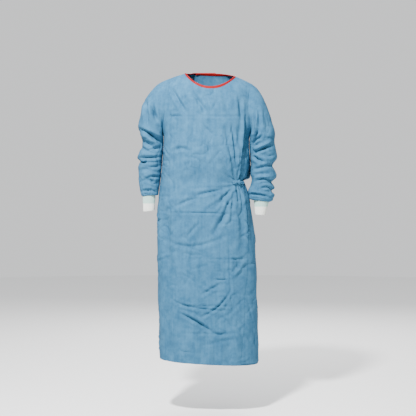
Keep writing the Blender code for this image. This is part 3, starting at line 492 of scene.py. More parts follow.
def plain_body(angle, station):
    """Station 0 is the neck edge, 1 the underarm level, and beyond it the skirt."""
    angle, station = np.broadcast_arrays(angle, station)
    neck = neck_ring(angle)
    chest = body_section(angle, np.full(angle.shape, UNDERARM_Z))
    corner, pull = shoulder_corner(angle, neck, chest)
    t = np.minimum(station, 1)
    even = side_evening(angle)
    t = (t + even * (ease(0, 1, t) - t))[..., None]
    pull = pull[..., None]
    parts = ((1 - t) ** 2, 2 * t * (1 - t) * pull, t**2)
    upper = (parts[0] * neck + parts[1] * corner + parts[2] * chest) / sum(parts)
    span = STATION_SPAN + HEM_TILT * np.sin(angle) / (LAST_STATION - 1)
    lower = body_section(angle, UNDERARM_Z - (np.maximum(station, 1) - 1) * span)
    return np.where(station[..., None] <= 1, upper, lower)


def slopes_normal(surface, first, second):
    """Outward normal of surface(first, second) from four points round each."""
    one = surface(first + SLOPE_STEP, second) - surface(first - SLOPE_STEP, second)
    two = surface(first, second - SLOPE_STEP) - surface(first, second + SLOPE_STEP)
    normal = np.cross(one, two)
    return normal / np.maximum(np.linalg.norm(normal, axis=-1, keepdims=True), NO_LENGTH)


def fold_push(flat, folds):
    """How far the folds push in the points, given in the folds' own plane."""
    total = np.zeros(len(flat))
    t = np.linspace(0, 1, FOLD_STRETCHES + 1)[:, None]
    for fold in folds:
        start, middle, end = np.array([fold[0:2], fold[2:4], fold[4:6]])
        bend = 2 * middle - (start + end) / 2
        line = (1 - t) ** 2 * start + 2 * t * (1 - t) * bend + t**2 * end
        reach = FOLD_REACH * fold.width
        near = np.flatnonzero(np.all((flat > line.min(axis=0) - reach)
                                     & (flat < line.max(axis=0) + reach), axis=1))
        if not len(near):
            continue
        points = flat[near]
        offset = np.full(len(near), np.inf)
        along = np.zeros(len(near))
        for k, (a, b) in enumerate(zip(line[:-1], line[1:])):
            share = np.clip((points - a) @ (b - a) / ((b - a) @ (b - a)), 0, 1)
            gap = np.linalg.norm(points - a - share[:, None] * (b - a), axis=1)
            along = np.where(gap < offset, (k + share) / FOLD_STRETCHES, along)
            offset = np.minimum(gap, offset)
        taper = np.sin(np.pi * (FOLD_END_SHARE + (1 - 2 * FOLD_END_SHARE) * along))
        crisp = np.exp(-offset / (CRISP_WIDTH * fold.width))
        profile = (1 - fold.crisp) * bell(offset, fold.width) + fold.crisp * crisp
        lip = LIP_HEIGHT * bell(offset - LIP_PLACE * fold.width, fold.width)
        total[near] += fold.depth * taper * (profile - lip)
    return total


class Noise:
    """Seeded gradient noise in space."""

    def __init__(self, seed):
        rng = np.random.default_rng(seed)
        self.order = np.concatenate([rng.permutation(256)] * 2)
        slopes = rng.normal(size=(256, 3))
        self.slopes = slopes / np.linalg.norm(slopes, axis=1, keepdims=True)

    def at(self, points):
        cell = np.floor(points).astype(int)
        part = points - cell
        cell &= 255
        blend = part**3 * (part * (part * 6 - 15) + 10)
        total = np.zeros(points.shape[:-1])
        for dx in (0, 1):
            for dy in (0, 1):
                for dz in (0, 1):
                    step = np.array([dx, dy, dz])
                    a = self.order[(cell[..., 0] + dx) & 255]
                    b = self.order[(a + cell[..., 1] + dy) & 255]
                    c = self.order[(b + cell[..., 2] + dz) & 255]
                    rise = np.sum(self.slopes[c] * (part - step), axis=-1)
                    weight = np.prod(np.where(step == 1, blend, 1 - blend), axis=-1)
                    total += rise * weight
        return total


SOFT = Noise(11)
SHARP = Noise(23)
FINE = Noise(37)


def crumple(points):
    """Small uneven wrinkles, in metres outward."""
    parts = [SOFT.at(points / WARP_CELL + k * WARP_SHIFT) for k in range(3)]
    warp = np.stack(parts, axis=-1) * WARP_REACH
    soft = SOFT_HEIGHT * SOFT.at(points / SOFT_CELL)
    ridges = SHARP.at(points / RIDGE_CELL + warp)
    crisp = RIDGE_HEIGHT * (np.exp(-np.abs(ridges) / RIDGE_WIDTH) - RIDGE_LEVEL)
    place = ease(*PATCH_EDGES, SOFT.at(points / PATCH_CELL + PATCH_SHIFT))
    small = SMALL_HEIGHT * FINE.at(points / SMALL_CELL + warp)
    return soft - crisp * place + small * (0.5 + place)


def random_folds(seed, count, low, high, length, width, depth):
    """Short crisp creases scattered over a flat rectangle."""
    rng = np.random.default_rng(seed)
    folds = []
    for _ in range(count):
        middle = rng.uniform(low, high)
        turn = rng.uniform(0, math.pi)
        half = rng.uniform(*length) / 2 * np.array([math.cos(turn), math.sin(turn)])
        bend = rng.normal(size=2) * CREASE_BEND * np.linalg.norm(half)
        start, end = middle - half + bend, middle + half + bend
        folds.append(Fold(*start, *middle, *end, rng.uniform(*width),
                          rng.uniform(*depth) * rng.choice([-1, 1, 1]), CREASE_CRISP))
    return folds


BODY_CREASES = random_folds(5, 170, (-0.66, -1.36), (0.66, -0.05), (0.04, 0.15),
                            (0.0045, 0.009), (0.0018, 0.0044))
ARM_CREASES = random_folds(8, 70, (-0.19, 0.0), (0.19, 0.62), (0.03, 0.09),
                           (0.004, 0.008), (0.0016, 0.0036))


def gathers(points, angle):
    """Small pleats that run out from the knot."""
    knot = plain_body(np.array(math.radians(KNOT_ANGLE)), np.array(knot_station()))
    across = (angle - math.radians(KNOT_ANGLE)) * GIRTH_RADIUS * PLEAT_SQUEEZE
    down = points[..., 2] - knot[2]
    reach = np.hypot(across, down)
    turn = np.arctan2(across, down)
    pleats = sum(row.share * np.sin(row.count * turn + row.phase) for row in PLEAT_ROWS)
    upright = PLEAT_LEVEL + (1 - PLEAT_LEVEL) * np.abs(np.cos(turn))
    strength = bell(reach - PLEAT_AWAY, PLEAT_SPREAD) * upright
    return PLEAT_HEIGHT * pleats * strength * (np.cos(angle) > PLEAT_FACING)


def knot_station():
    return 1 + (UNDERARM_Z - KNOT_Z) / STATION_SPAN


def blouse(angle, z):
    """How far the cloth hangs out over the waist, less the tie's pinch."""
    degrees = np.degrees(angle) % 360
    out = sum(b.height * bell(degrees - b.angle, b.width) for b in (SIDE_BULGE, BACK_BULGE))
    pinch = PINCH.height * bell(z - WAIST_Z, PINCH_HEIGHT)
    pinch = pinch * bell(degrees - PINCH.angle, PINCH.width)
    return ease(*BULGE_TOP_Z, z) * ease(*BULGE_FOOT_Z, z) * out - pinch


def from_nearest_side(degrees):
    """Degrees from the nearer side line of the body."""
    return np.abs((degrees % 180) - 90)


def hole_station(rise):
    """The armhole's station at a height from 1, its top, to -1, the underarm."""
    return np.where(rise >= 0, ARMHOLE_MID - (ARMHOLE_MID - ARMHOLE_TOP) * rise,
                    ARMHOLE_MID + (1 - ARMHOLE_MID) * np.abs(rise) ** LOWER_ROUNDING)


def armhole_station(degrees, half):
    """The armhole's station at an angle, with half 1 on its upper half and -1 on its lower."""
    along = np.clip(from_nearest_side(degrees) / (90 - ARMHOLE_ANGLE), 0, 1)
    return hole_station(half * np.sqrt(1 - along**2))


def armhole_places(side):
    """Angles and stations round an armhole, from its top."""
    turn = np.arange(ARMHOLE_POINTS) * 2 * math.pi / ARMHOLE_POINTS
    angle = np.radians(side * 90 - side * (90 - ARMHOLE_ANGLE) * np.sin(turn))
    return angle, hole_station(np.cos(turn))


ARMHOLES = {side: plain_body(*armhole_places(side)) for side in (-1, 1)}


def from_armhole(points, side):
    """Distance to the nearest point of one armhole."""
    near = np.full(points.shape[:-1], np.inf)
    for point in ARMHOLES[side]:
        near = np.minimum(near, np.linalg.norm(points - point, axis=-1))
    return near


def armhole_flare(points):
    """Draws the cloth beside each armhole seam outward."""
    moved = points.copy()
    for side in (-1, 1):
        reach = ARMHOLE_FLARE * np.exp(-from_armhole(points, side) / ARMHOLE_FADE)
        moved[..., 0] += side * reach * (points[..., 0] * side > 0)
    return moved


def creased_body(angle, station):
    """The body surface with its folds, wrinkles, pleats and fullness."""
    points = plain_body(angle, station)
    out = slopes_normal(plain_body, angle, station)
    front = ease(*FRONT_FACING, np.cos(angle))
    flat = points.reshape(-1, 3)[:, [0, 2]]
    detail = -FOLD_GAIN * front * fold_push(flat, FRONT_FOLDS).reshape(angle.shape)
    detail -= FOLD_GAIN * (1 - front) * fold_push(flat, BACK_FOLDS).reshape(angle.shape)
    round_it = (np.degrees(angle) + 90) % 360 - 90
    sheet = np.stack([np.radians(round_it - 90) * GIRTH_RADIUS, points[..., 2]], axis=-1)
    detail = detail - fold_push(sheet.reshape(-1, 2), BODY_CREASES).reshape(angle.shape)
    detail = detail + crumple(points) + gathers(points, angle)
    beside = bell(from_nearest_side(np.degrees(angle)), SIDE_CALM_WIDTH)
    beside = beside * ease(*SIDE_CALM_Z, points[..., 2])
    push = blouse(angle, points[..., 2]) + detail * (1 - SIDE_CALM * beside)
    near = np.minimum(from_armhole(points, -1), from_armhole(points, 1))
    calm = ease(*CALM_STATIONS, station) * ease(*SEAM_CALM, near)
    return armhole_flare(points + out * (push * calm)[..., None])


def binding_station(angle, width):
    """The station that lies a width below the neck edge."""
    neck = neck_ring(angle)
    chest = body_section(angle, np.full(angle.shape, UNDERARM_Z))
    corner, pull = shoulder_corner(angle, neck, chest)
    share = width / (2 * pull * np.linalg.norm(corner - neck, axis=-1))
    even = np.maximum(side_evening(angle), 1e-6)
    return (np.sqrt((1 - even) ** 2 + 12 * even * share) - 1 + even) / (6 * even)


def outer_edge_angle(station):
    return smooth([row.station for row in OUTER_EDGE], [row.angle for row in OUTER_EDGE], station)


def layer_offset(degrees, station=None):
    """How far the outer panel lies over the inner one. A station draws its free edge nearer."""
    offset = LAYER * ease(*LAYER_ANGLES, degrees)
    if station is None:
        return offset
    inside = degrees - outer_edge_angle(station)
    return offset - (LAYER - EDGE_LIFT) * ease(EDGE_REACH, 0, inside)


def grid_normals(grid):
    """Unit normals of a grid of points, from its rows and columns."""
    normal = np.cross(np.gradient(grid, axis=1), -np.gradient(grid, axis=0))
    return normal / np.maximum(np.linalg.norm(normal, axis=-1, keepdims=True), NO_LENGTH)


def add_mesh(name, points, faces, look, sharp=None):
    """A smooth mesh object, with sharp edges above an angle if one is given."""
    mesh = bpy.data.meshes.new(name)
    mesh.from_pydata(points, [], faces)
    mesh.validate()
    mesh.update()
    mesh.shade_smooth()
    if sharp is not None:
        mesh.set_sharp_from_angle(angle=math.radians(sharp))
    mesh.materials.append(look)
    made = bpy.data.objects.new(name, mesh)
    bpy.context.scene.collection.objects.link(made)
    return made


def point_ids(grid):
    """A number for each point of a grid, row by row."""
    return np.arange(grid[..., 0].size).reshape(grid.shape[:2])


def tube_quads(grid, side):
    """Quads of a tube whose last column meets its first, facing out on either side."""
    ids = point_ids(grid)
    ids[:, -1] = ids[:, 0]
    quads = grid_quads(ids)
    return quads[:, ::-1] if side > 0 else quads


def distinct_faces(quads):
    """Quads without repeated points, where three or more are left."""
    faces = [list(dict.fromkeys(quad)) for quad in quads.tolist()]
    return [face for face in faces if len(face) > 2]


def wall(name, outer, inner, quads, look):
    """A thin closed wall between two like sets of points."""
    count = len(outer)
    edges = np.concatenate([quads[:, [k, (k + 1) % 4]] for k in range(4)])
    edges = edges[edges[:, 0] != edges[:, 1]]
    known = set(map(tuple, edges.tolist()))
    rims = [(a, b) for a, b in known if (b, a) not in known]
    faces = distinct_faces(quads)
    faces += [[count + v for v in reversed(f)] for f in faces]
    faces += [[b, a, count + a, count + b] for a, b in rims]
    points = np.concatenate([outer, inner])
    kept = np.zeros(len(points), bool)
    for face in faces:
        kept[face] = True
    number = np.cumsum(kept) - 1
    faces = [[int(number[v]) for v in f] for f in faces]
    return add_mesh(name, points[kept].tolist(), faces, look, SHARP_EDGE)


def grid_quads(ids):
    """The quads between the rows and columns of a grid of point numbers."""
    a, b, c, d = ids[:-1, :-1], ids[1:, :-1], ids[1:, 1:], ids[:-1, 1:]
    return np.stack([a, b, c, d], axis=-1).reshape(-1, 4)


def panel_columns(low, high, steps):
    """Angles of the columns at armhole height. A low or high end may be a side seam, where the
    columns are close together at the armhole's front or back point."""
    half_hole = 90 - ARMHOLE_ANGLE
    quarter = half_hole * np.sin(np.arange(ARMHOLE_STEPS + 1) * math.pi / 2 / ARMHOLE_STEPS)
    first, last, head, tail = low, high, [], []
    if from_nearest_side(low) < ANGLE_SLACK:
        first, head = low + half_hole, low + quarter[:-1]
    if from_nearest_side(high) < ANGLE_SLACK:
        last, tail = high - half_hole, high - quarter[-2::-1]
    return np.concatenate([head, np.linspace(first, last, steps + 1), tail])


def stretch_to_edge(degrees, station, low):
    """Spreads the outer panel's columns from its free edge to the armhole side."""
    free = outer_edge_angle(station)
    spread = free + (degrees - low) * (HOLE_SIDE - free) / (HOLE_SIDE - low)
    return np.where(degrees > HOLE_SIDE, degrees, spread)


def add_panel(name, low, high, steps, look, edge=False):
    """One body panel between two angles. With edge, its low side follows the free edge."""
    at_hole = panel_columns(low, high, steps)
    count = len(at_hole)
    even = np.linspace(low, high, count)
    hole = from_nearest_side(at_hole) < 90 - ARMHOLE_ANGLE - ANGLE_SLACK
    if edge:
        hole &= at_hole > 180
    blocks = []
    share = np.linspace(0, 1, UPPER_STEPS + 1)[:, None]
    degrees = even + (at_hole - even) * ease(0.0, EVEN_SHARE, share)
    top = stretch_to_edge(degrees[0], 0.0, low) if edge else degrees[0]
    start = binding_station(np.radians(top), BINDING_WIDTH)
    end = np.where(hole, armhole_station(at_hole, 1), ARMHOLE_MID)
    blocks.append((degrees, start + (end - start) * share))
    down = np.linspace(0, 1, LOWER_STEPS + 1)[:, None]
    base = ARMHOLE_MID + (LAST_STATION - ARMHOLE_MID) * down
    degrees = even + (at_hole - even) * ease(EVEN_STATION, ARMHOLE_MID, base)
    fade = np.clip(1 - (base - ARMHOLE_MID) / ARMHOLE_BELOW, 0, 1) ** 2
    shift = np.where(hole, armhole_station(at_hole, -1) - ARMHOLE_MID, 0)
    blocks.append((degrees, base + fade * shift))
    outer, inner, quads, first, joined = [], [], [], 0, None
    for upper, (degrees, station) in zip((True, False), blocks):
        if edge:
            lift = ease(LIFT_STATION, LAST_STATION, station) * ease(*LIFT_FADE, degrees)
            station = station - OUTER_HEM_LIFT / STATION_SPAN * lift
            degrees = stretch_to_edge(degrees, station, low)
        grid = creased_body(np.radians(degrees), station)
        normal = grid_normals(grid)
        if edge:
            grid = grid + normal * layer_offset(degrees, station)[..., None]
        ids = point_ids(grid) + first
        first += degrees.size
        if upper:
            joined = ids[-1]
        else:
            ids[0, ~hole] = joined[~hole]
        outer.append(grid.reshape(-1, 3))
        inner.append((grid - normal * THIN).reshape(-1, 3))
        quads.append(grid_quads(ids))
    return wall(name, np.concatenate(outer), np.concatenate(inner), np.concatenate(quads), look)


def ring_values(rings, at):
    """The rings' columns at places between the rings."""
    keys = np.arange(len(rings))
    return [smooth(keys, [getattr(ring, name) for ring in rings], at) for name in Ring._fields]


def ring_point(turn, out_x, out_z, in_x, in_z, front, back):
    """Points round a ring, from its outer point over the front."""
    across, ahead = np.cos(turn), np.sin(turn)
    x = (out_x + in_x) / 2 + (out_x - in_x) / 2 * across
    z = (out_z + in_z) / 2 + (out_z - in_z) / 2 * across
    y = (front + back) / 2 + (front - back) / 2 * ahead
    return np.stack([x, y, z], axis=-1)


def lean(grid, side, across):
    """How far a sleeve's inner side leans in to rest beside the body."""
    degrees = side * 90 + np.linspace(-LEAN_ANGLE, LEAN_ANGLE, LEAN_COLUMNS)[None, :]
    station = np.linspace(*LEAN_STATIONS, LEAN_ROWS)[:, None]
    angle, station = np.broadcast_arrays(np.radians(degrees), station)
    body = creased_body(angle, station)
    levels = -body[..., 2].mean(axis=1)
    reach = (side * body[..., 0]).max(axis=1)
    inner = np.argmin(side * grid[..., 0], axis=1)
    place = grid[np.arange(len(grid)), inner]
    gap = side * place[:, 0] - np.interp(-place[:, 2], levels, reach)
    rest = np.clip(gap - LEAN_CLEAR, 0, LEAN_MOST) * ease(*LEAN_GAPS, gap)
    padded = np.pad(rest, LEAN_EVENING // 2, mode="edge")
    soft = np.convolve(padded, np.full(LEAN_EVENING, 1 / LEAN_EVENING), mode="valid")
    return soft[:, None] * ease(*LEAN_ACROSS, across)


def add_sleeve(name, side, rings, folds, look):
    """A sleeve from its armhole down to the cuff's seam."""
    last = len(rings) - 1
    turns = np.linspace(0, 2 * math.pi, ARMHOLE_POINTS + 1)
    loop = armhole_flare(ARMHOLES[side])
    loop = np.concatenate([loop, loop[:1]])
    change = loop - ring_point(turns, *ring_values(rings, np.zeros(ARMHOLE_POINTS + 1)))

    def plain(turn, at):
        turn, at = np.broadcast_arrays(turn, at)
        point = ring_point(turn, *ring_values(rings, at))
        whole = turn % (2 * math.pi)
        moved = np.stack([np.interp(whole, turns, change[:, k]) for k in range(3)], axis=-1)
        hold = np.clip(1 - at / HELD_RINGS, 0, 1) ** 2
        return point + moved * hold[..., None]

    turn = (np.arange(SLEEVE_AROUND + 1) * 2 * math.pi / SLEEVE_AROUND)[None, :]
    at = np.linspace(0, last, SLEEVE_STEPS + 1)[:, None]
    points = plain(turn, at)
    out = slopes_normal(plain, turn, at) * -side
    wide, places = np.broadcast_arrays(turn, at)
    across = np.cos(wide)
    flat = points.reshape(-1, 3)[:, [0, 2]]
    ahead = ease(*SLEEVE_FACING, np.sin(wide))
    front = SLEEVE_GAIN * fold_push(flat, folds).reshape(wide.shape)
    first, middle, final = BEHIND_SHIFT
    moved_folds = [f._replace(z0=f.z0 + first, z1=f.z1 + middle, z2=f.z2 + final) for f in folds]
    behind = fold_push(flat, moved_folds).reshape(wide.shape)
    sheet = np.stack([(wide - math.pi) * ARM_RADIUS, -points[..., 2]], axis=-1).reshape(-1, 2)
    creases = fold_push(sheet, ARM_CREASES).reshape(wide.shape)
    small = creases - crumple(points * SLEEVE_CRUMPLE + side)
    small = small * (1 - UPPER_ARM_CALM * ease(*UPPER_ARM_Z, points[..., 2]))
    push = front * ahead + behind * (1 - ahead) * BEHIND_GAIN + small
    end_from, end_to = END_CALM_RINGS
    calm = ease(*TOP_CALM_RINGS, places) * ease(last + end_from, last + end_to, places)
    calm = calm * (1 - BESIDE_CALM * ease(*BESIDE_ACROSS, across))
    grid = points - out * (push * calm)[..., None]
    grid[..., 0] -= side * lean(grid, side, across) * ease(*LEAN_RINGS, places)
    normal = grid_normals(grid) * -side
    seam = (normal[:, :1] + normal[:, -1:]) / 2
    normal[:, :1] = normal[:, -1:] = seam
    outer = grid.reshape(-1, 3)
    inner = outer - normal.reshape(-1, 3) * THIN
    return wall(name, outer, inner, tube_quads(grid, side), look)


def level_normals(ring):
    """Level directions out from a ring's middle."""
    away = ring - ring.mean(axis=0)
    away[:, 2] = 0
    return away / np.linalg.norm(away, axis=1, keepdims=True)


def add_cuff(name, side, first, end, look):
    """A knit tube with fine ribs on the outside."""
    around = CUFF_RIBS * RIB_STEPS
    turn = np.arange(around + 1) * 2 * math.pi / around
    outer, inner = [], []
    for t in np.linspace(0, 1, CUFF_STEPS + 1):
        ring = ring_point(turn, *[a + (b - a) * t for a, b in zip(first, end)])
        ring[:, 2] -= SEAM_GAP
        away = level_normals(ring[:-1])
        away = np.concatenate([away, away[:1]])
        sag = CUFF_SAG * SOFT.at(ring / SAG_CELL + side) * ease(*SAG_SHARE, t)
        rib = CUFF_OUTSIDE + RIB_HEIGHT * np.cos(turn * CUFF_RIBS) + sag
        roll = CUFF_ROLL * ease(*ROLL_SHARE, t)
        outer.append(ring + away * (rib - roll)[:, None])
        inner.append(ring + away * (CUFF_INSIDE + sag)[:, None])
    grid = np.stack(outer)
    inside = np.stack(inner).reshape(-1, 3)
    return wall(name, grid.reshape(-1, 3), inside, tube_quads(grid, side), look)


def add_binding(look):
    """Folded tape round the neck, lapped at the back."""
    degrees = np.linspace(INNER_EDGE_ANGLE - BINDING_LAP,
                          OUTER_EDGE[0].angle - 360 + BINDING_LAP, BINDING_STEPS)
    angle = np.radians(degrees)
    lap = np.where(degrees < -90, layer_offset(degrees + 360), 0)
    rows = []
    for corner in BINDING_PROFILE:
        station = binding_station(angle, corner.along)
        point = plain_body(angle, station)
        ripple = BINDING_RIPPLE * FINE.at(point / RIPPLE_CELL)
        out = slopes_normal(plain_body, angle, station)
        rows.append(point + out * (corner.out + lap + ripple)[:, None])
    grid = np.stack(rows)
    ids = point_ids(grid)
    faces = grid_quads(np.concatenate([ids, ids[:1]]))[:, ::-1].tolist()
    faces.append(ids[:, 0].tolist())
    faces.append(ids[::-1, -1].tolist())
    return add_mesh("binding_tape", grid.reshape(-1, 3).tolist(), faces, look, SHARP_TAPE)


def add_tie(name, degrees, slack, look):
    """A stretch of flat tie that lies on the panel under it."""
    across = np.linspace(-0.5, 0.5, TIE_ROWS)[:, None] * TIE_WIDTH
    station = knot_station() - across / STATION_SPAN
    station, degrees = np.broadcast_arrays(station, degrees)
    angle = np.radians(degrees)
    where = creased_body(angle, station)
    out = slopes_normal(plain_body, angle, station)
    rise = SEAM_GAP + TIE_CLEAR + slack * np.linspace(0, 1, degrees.shape[1])
    ripple = TIE_RIPPLE * np.sin(degrees * RIPPLES_A_DEGREE + across * RIPPLE_SLANT)
    arch = TIE_ARCH * np.cos(np.pi * across / TIE_WIDTH)
    inner = where + out * (rise + ripple + TIE_LIFT + arch)[..., None]
    outer = inner + out * TIE_THICK
    quads = grid_quads(point_ids(inner))
    return wall(name, outer.reshape(-1, 3), inner.reshape(-1, 3), quads, look)


def knot_shape(tilt, turn):
    """A point of the knot in its own directions, at a tilt from its front and a turn round it."""
    waist = 1 - KNOT_WAIST * math.cos(2 * turn) * math.sin(tilt)
    wrap = 1 + WRAP_HEIGHT * math.cos(WRAP_TURNS * (turn + WRAP_TWIST * math.cos(tilt)))
    local = np.array([math.sin(tilt) * math.cos(turn), math.sin(tilt) * math.sin(turn),
                      math.cos(tilt)])
    local *= wrap * np.array([waist, waist, 1.0])
    groove = 1 - GROOVE_DEPTH * bell(local[0] - GROOVE_SLANT * local[1], GROOVE_WIDTH)
    return local * groove * KNOT_SIZE


def add_knot(look):
    """The knot, a rounded lump with a groove where the ties cross."""
    angle = np.array([math.radians(KNOT_ANGLE)])
    seat = creased_body(angle, np.array([knot_station()]))[0]
    out = slopes_normal(plain_body, angle, np.array([knot_station()]))[0]
    beside = np.cross([0, 0, 1.0], out)
    beside /= np.linalg.norm(beside)
    upward = np.cross(out, beside)
    middle = seat + out * (KNOT_SIZE[2] + KNOT_CLEAR)
    points = []
    for tilt in np.arange(KNOT_RINGS + 1) * math.pi / KNOT_RINGS:
        for turn in np.arange(KNOT_SEGMENTS) * 2 * math.pi / KNOT_SEGMENTS:
            local = knot_shape(tilt, turn)
            points.append(middle + local[0] * beside + local[1] * upward + local[2] * out)
    ids = np.arange((KNOT_RINGS + 1) * KNOT_SEGMENTS).reshape(KNOT_RINGS + 1, KNOT_SEGMENTS)
    ids = np.concatenate([ids, ids[:, :1]], axis=1)
    ids[0] = ids[0, 0]
    ids[-1] = ids[-1, 0]
    return add_mesh("knot", [p.tolist() for p in points], distinct_faces(grid_quads(ids)), look)


# Materials. Scales are in cells a metre.
SPECULAR = 0.08
SHEEN_ROUGHNESS = 0.5
BUMP_STRENGTH = 0.5
FIBRE_DETAIL = 4
PATCH_SCALE = 26
PATCH_DETAIL = 8
PATCH_ROUGHNESS = 0.72
STREAK_SCALES = (90, 90, 7)
STREAK_DETAIL = 5
STREAK_SHARE = 0.25
TONE_EDGES = (0.38, 0.62)
KNIT_BLEND = 0.002


def link(tree, a, out, b, into):
    tree.links.new(a.outputs[out], b.inputs[into])


def add_noise(tree, source, out, scale, detail):
    node = tree.nodes.new("ShaderNodeTexNoise")
    node.inputs["Scale"].default_value = scale
    node.inputs["Detail"].default_value = detail
    link(tree, source, out, node, "Vector")
    return node


def add_ramp(tree, source, out, colours, edges):
    """A ramp from the first colour to the second between two values."""
    ramp = tree.nodes.new("ShaderNodeValToRGB")
    for element, colour, edge in zip(ramp.color_ramp.elements, colours, edges):
        element.position = edge
        element.color = (*colour, 1)
    link(tree, source, out, ramp, "Fac")
    link(tree, ramp, "Color", tree.nodes["Principled BSDF"], "Base Color")


def matt_material(name, colour, roughness, sheen, fibre_scale, bump_depth):
    """A matt surface of fine fibres, and the node that tells places on it."""
    made = bpy.data.materials.new(name)
    made.use_nodes = True
    tree = made.node_tree
    shader = tree.nodes["Principled BSDF"]
    shader.inputs["Base Color"].default_value = (*colour, 1)
    shader.inputs["Roughness"].default_value = roughness
    shader.inputs["Metallic"].default_value = 0
    shader.inputs["Specular IOR Level"].default_value = SPECULAR
    shader.inputs["Sheen Weight"].default_value = sheen
    shader.inputs["Sheen Roughness"].default_value = SHEEN_ROUGHNESS
    place = tree.nodes.new("ShaderNodeTexCoord")
    fibres = add_noise(tree, place, "Object", fibre_scale, FIBRE_DETAIL)
    bump = tree.nodes.new("ShaderNodeBump")
    bump.inputs["Strength"].default_value = BUMP_STRENGTH
    bump.inputs["Distance"].default_value = bump_depth
    link(tree, fibres, "Fac", bump, "Height")
    link(tree, bump, "Normal", shader, "Normal")
    return made, place


def cloth_material(name, light, dark, roughness, fibre_scale, bump_depth):
    """Matt cloth whose tone is uneven in patches and in upright streaks."""
    made, place = matt_material(name, light, roughness, 0.0, fibre_scale, bump_depth)
    tree = made.node_tree
    patches = add_noise(tree, place, "Object", PATCH_SCALE, PATCH_DETAIL)
    patches.inputs["Roughness"].default_value = PATCH_ROUGHNESS
    stretch = tree.nodes.new("ShaderNodeMapping")
    stretch.inputs["Scale"].default_value = STREAK_SCALES
    link(tree, place, "Object", stretch, "Vector")
    streaks = add_noise(tree, stretch, "Vector", 1, STREAK_DETAIL)
    patch_part = tree.nodes.new("ShaderNodeMath")
    patch_part.operation = "MULTIPLY"
    patch_part.inputs[1].default_value = 1 - STREAK_SHARE
    link(tree, patches, "Fac", patch_part, 0)
    tone = tree.nodes.new("ShaderNodeMath")
    tone.operation = "MULTIPLY_ADD"
    tone.inputs[1].default_value = STREAK_SHARE
    link(tree, streaks, "Fac", tone, 0)
    link(tree, patch_part, "Value", tone, 2)
    add_ramp(tree, tone, "Value", (dark, light), TONE_EDGES)
    return made


def knit_material(name, border):
    """Ribbed knit, mint above the border height and white below it."""
    made, place = matt_material(name, MINT, 0.85, 0.10, 1400, 0.0004)
    tree = made.node_tree
    split = tree.nodes.new("ShaderNodeSeparateXYZ")
    link(tree, place, "Object", split, "Vector")
    height = tree.nodes.new("ShaderNodeMapRange")
    height.inputs["From Min"].default_value = border - KNIT_BLEND
    height.inputs["From Max"].default_value = border + KNIT_BLEND
    link(tree, split, "Z", height, "Value")
    add_ramp(tree, height, "Result", (WHITE, MINT), (0, 1))
    return made


MINT = (0.33, 0.50, 0.46)
WHITE = (0.62, 0.64, 0.60)
BLUE = cloth_material("gown_nonwoven", (0.044, 0.142, 0.242), (0.024, 0.091, 0.168), 0.90,
                      900, 0.0004)
KNIT_LEFT = knit_material("cuff_knit_left", -0.614)
KNIT_RIGHT = knit_material("cuff_knit_right", -0.599)
RED = cloth_material("neck_tape", (0.20, 0.006, 0.006), (0.16, 0.004, 0.005), 0.60,
                     1500, 0.0003)

front = add_panel("front_cloth", -90.0, 90.0, FRONT_STEPS, BLUE)
back_inner = add_panel("back_inner_cloth", 90.0, INNER_EDGE_ANGLE, BACK_INNER_STEPS, BLUE)
back_outer = add_panel("back_outer_cloth", OUTER_EDGE_ANGLE, OUTER_SEAM_ANGLE, BACK_OUTER_STEPS,
                       BLUE, edge=True)
sleeve_left = add_sleeve("sleeve_left_cloth", 1, SLEEVE_LEFT, SLEEVE_LEFT_FOLDS, BLUE)
sleeve_right = add_sleeve("sleeve_right_cloth", -1, SLEEVE_RIGHT, SLEEVE_RIGHT_FOLDS, BLUE)
cuff_left = add_cuff("cuff_left_knit", 1, SLEEVE_LEFT[-1], CUFF_LEFT_END, KNIT_LEFT)
cuff_right = add_cuff("cuff_right_knit", -1, SLEEVE_RIGHT[-1], CUFF_RIGHT_END, KNIT_RIGHT)
binding = add_binding(RED)
KNOT_SIDE = 3.0        # degrees from the knot's middle to where a tie comes out of it
edge_at_tie = float(outer_edge_angle(np.array([knot_station()]))[0])
outer_reach = np.linspace(KNOT_ANGLE + KNOT_SIDE, edge_at_tie - 1.0, 26)
front_reach = np.linspace(KNOT_ANGLE - 12.0, KNOT_ANGLE - KNOT_SIDE, 22)
tie_outer = add_tie("tie_outer", outer_reach, 0.0010, BLUE)
tie_front = add_tie("tie_front", front_reach, 0.0006, BLUE)
knot = add_knot(BLUE)

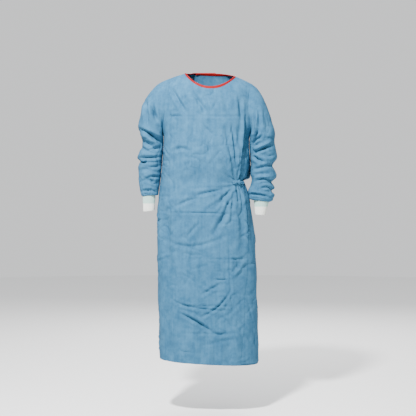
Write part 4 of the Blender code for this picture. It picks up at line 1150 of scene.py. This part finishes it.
for piece, node, slot in (
        (front, "front_panel", "nonwoven_blue"),
        (back_inner, "back_panel_inner", "nonwoven_blue"),
        (back_outer, "back_panel_outer", "nonwoven_blue"),
        (sleeve_left, "sleeve_left", "nonwoven_blue"),
        (sleeve_right, "sleeve_right", "nonwoven_blue"),
        (cuff_left, "cuff_left", "knit_mint_white"),
        (cuff_right, "cuff_right", "knit_mint_white"),
        (binding, "neck_binding", "tape_red"),
        (tie_outer, "waist_tie_outer", "nonwoven_blue"),
        (tie_front, "waist_tie_front", "nonwoven_blue"),
        (knot, "waist_knot", "nonwoven_blue")):
    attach(piece, "root")
    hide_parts(node)

# Floor, light and camera
FLOOR_Z = -1.565
FLOOR_RADIUS = 9
PALE = (0.86, 0.86, 0.86, 1)
AIR = (0.95, 0.96, 0.97, 1)
AIR_STRENGTH = 0.95
bpy.ops.mesh.primitive_circle_add(vertices=96, radius=FLOOR_RADIUS, fill_type="NGON",
                                  location=(0, 0, FLOOR_Z))
floor = bpy.context.object
floor.name = "floor"
pale = bpy.data.materials.new("pale_floor")
pale.use_nodes = True
pale_shader = pale.node_tree.nodes["Principled BSDF"]
pale_shader.inputs["Base Color"].default_value = PALE
pale_shader.inputs["Roughness"].default_value = 0.9
floor.data.materials.append(pale)


def area_light(name, place, aim, size, power):
    """A round lamp at a place, turned to the point it aims at."""
    data = bpy.data.lights.new(name, "AREA")
    data.shape = "DISK"
    data.size = size
    data.energy = power
    lamp = bpy.data.objects.new(name, data)
    bpy.context.scene.collection.objects.link(lamp)
    lamp.location = place
    lamp.rotation_mode = "QUATERNION"
    lamp.rotation_quaternion = (Vector(aim) - Vector(place)).to_track_quat("-Z", "Y")
    return lamp


lamps = [
    area_light("key", (-0.75, -2.1, 1.7), (0, 0, -0.2), 0.3, 360),
    area_light("rear", (0.6, 3.2, 1.6), (0, 0, -0.5), 2.0, 160),
]
world = bpy.data.worlds.new("studio")
bpy.context.scene.world = world
world.use_nodes = True
background = world.node_tree.nodes["Background"]
background.inputs["Color"].default_value = AIR
background.inputs["Strength"].default_value = AIR_STRENGTH

CAMERA_AWAY = 4.5
CAMERA_Z = -0.62
PICTURE_SIZE = 1.953   # metres across the picture, at the gown
SENSOR = 36            # millimetres
camera_data = bpy.data.cameras.new("camera")
camera_data.sensor_width = SENSOR
camera_data.lens = SENSOR * CAMERA_AWAY / PICTURE_SIZE
camera = bpy.data.objects.new("camera", camera_data)
bpy.context.scene.collection.objects.link(camera)
camera.location = (0, -CAMERA_AWAY, CAMERA_Z)
camera.rotation_euler = (math.radians(90), 0, 0)
bpy.context.scene.camera = camera
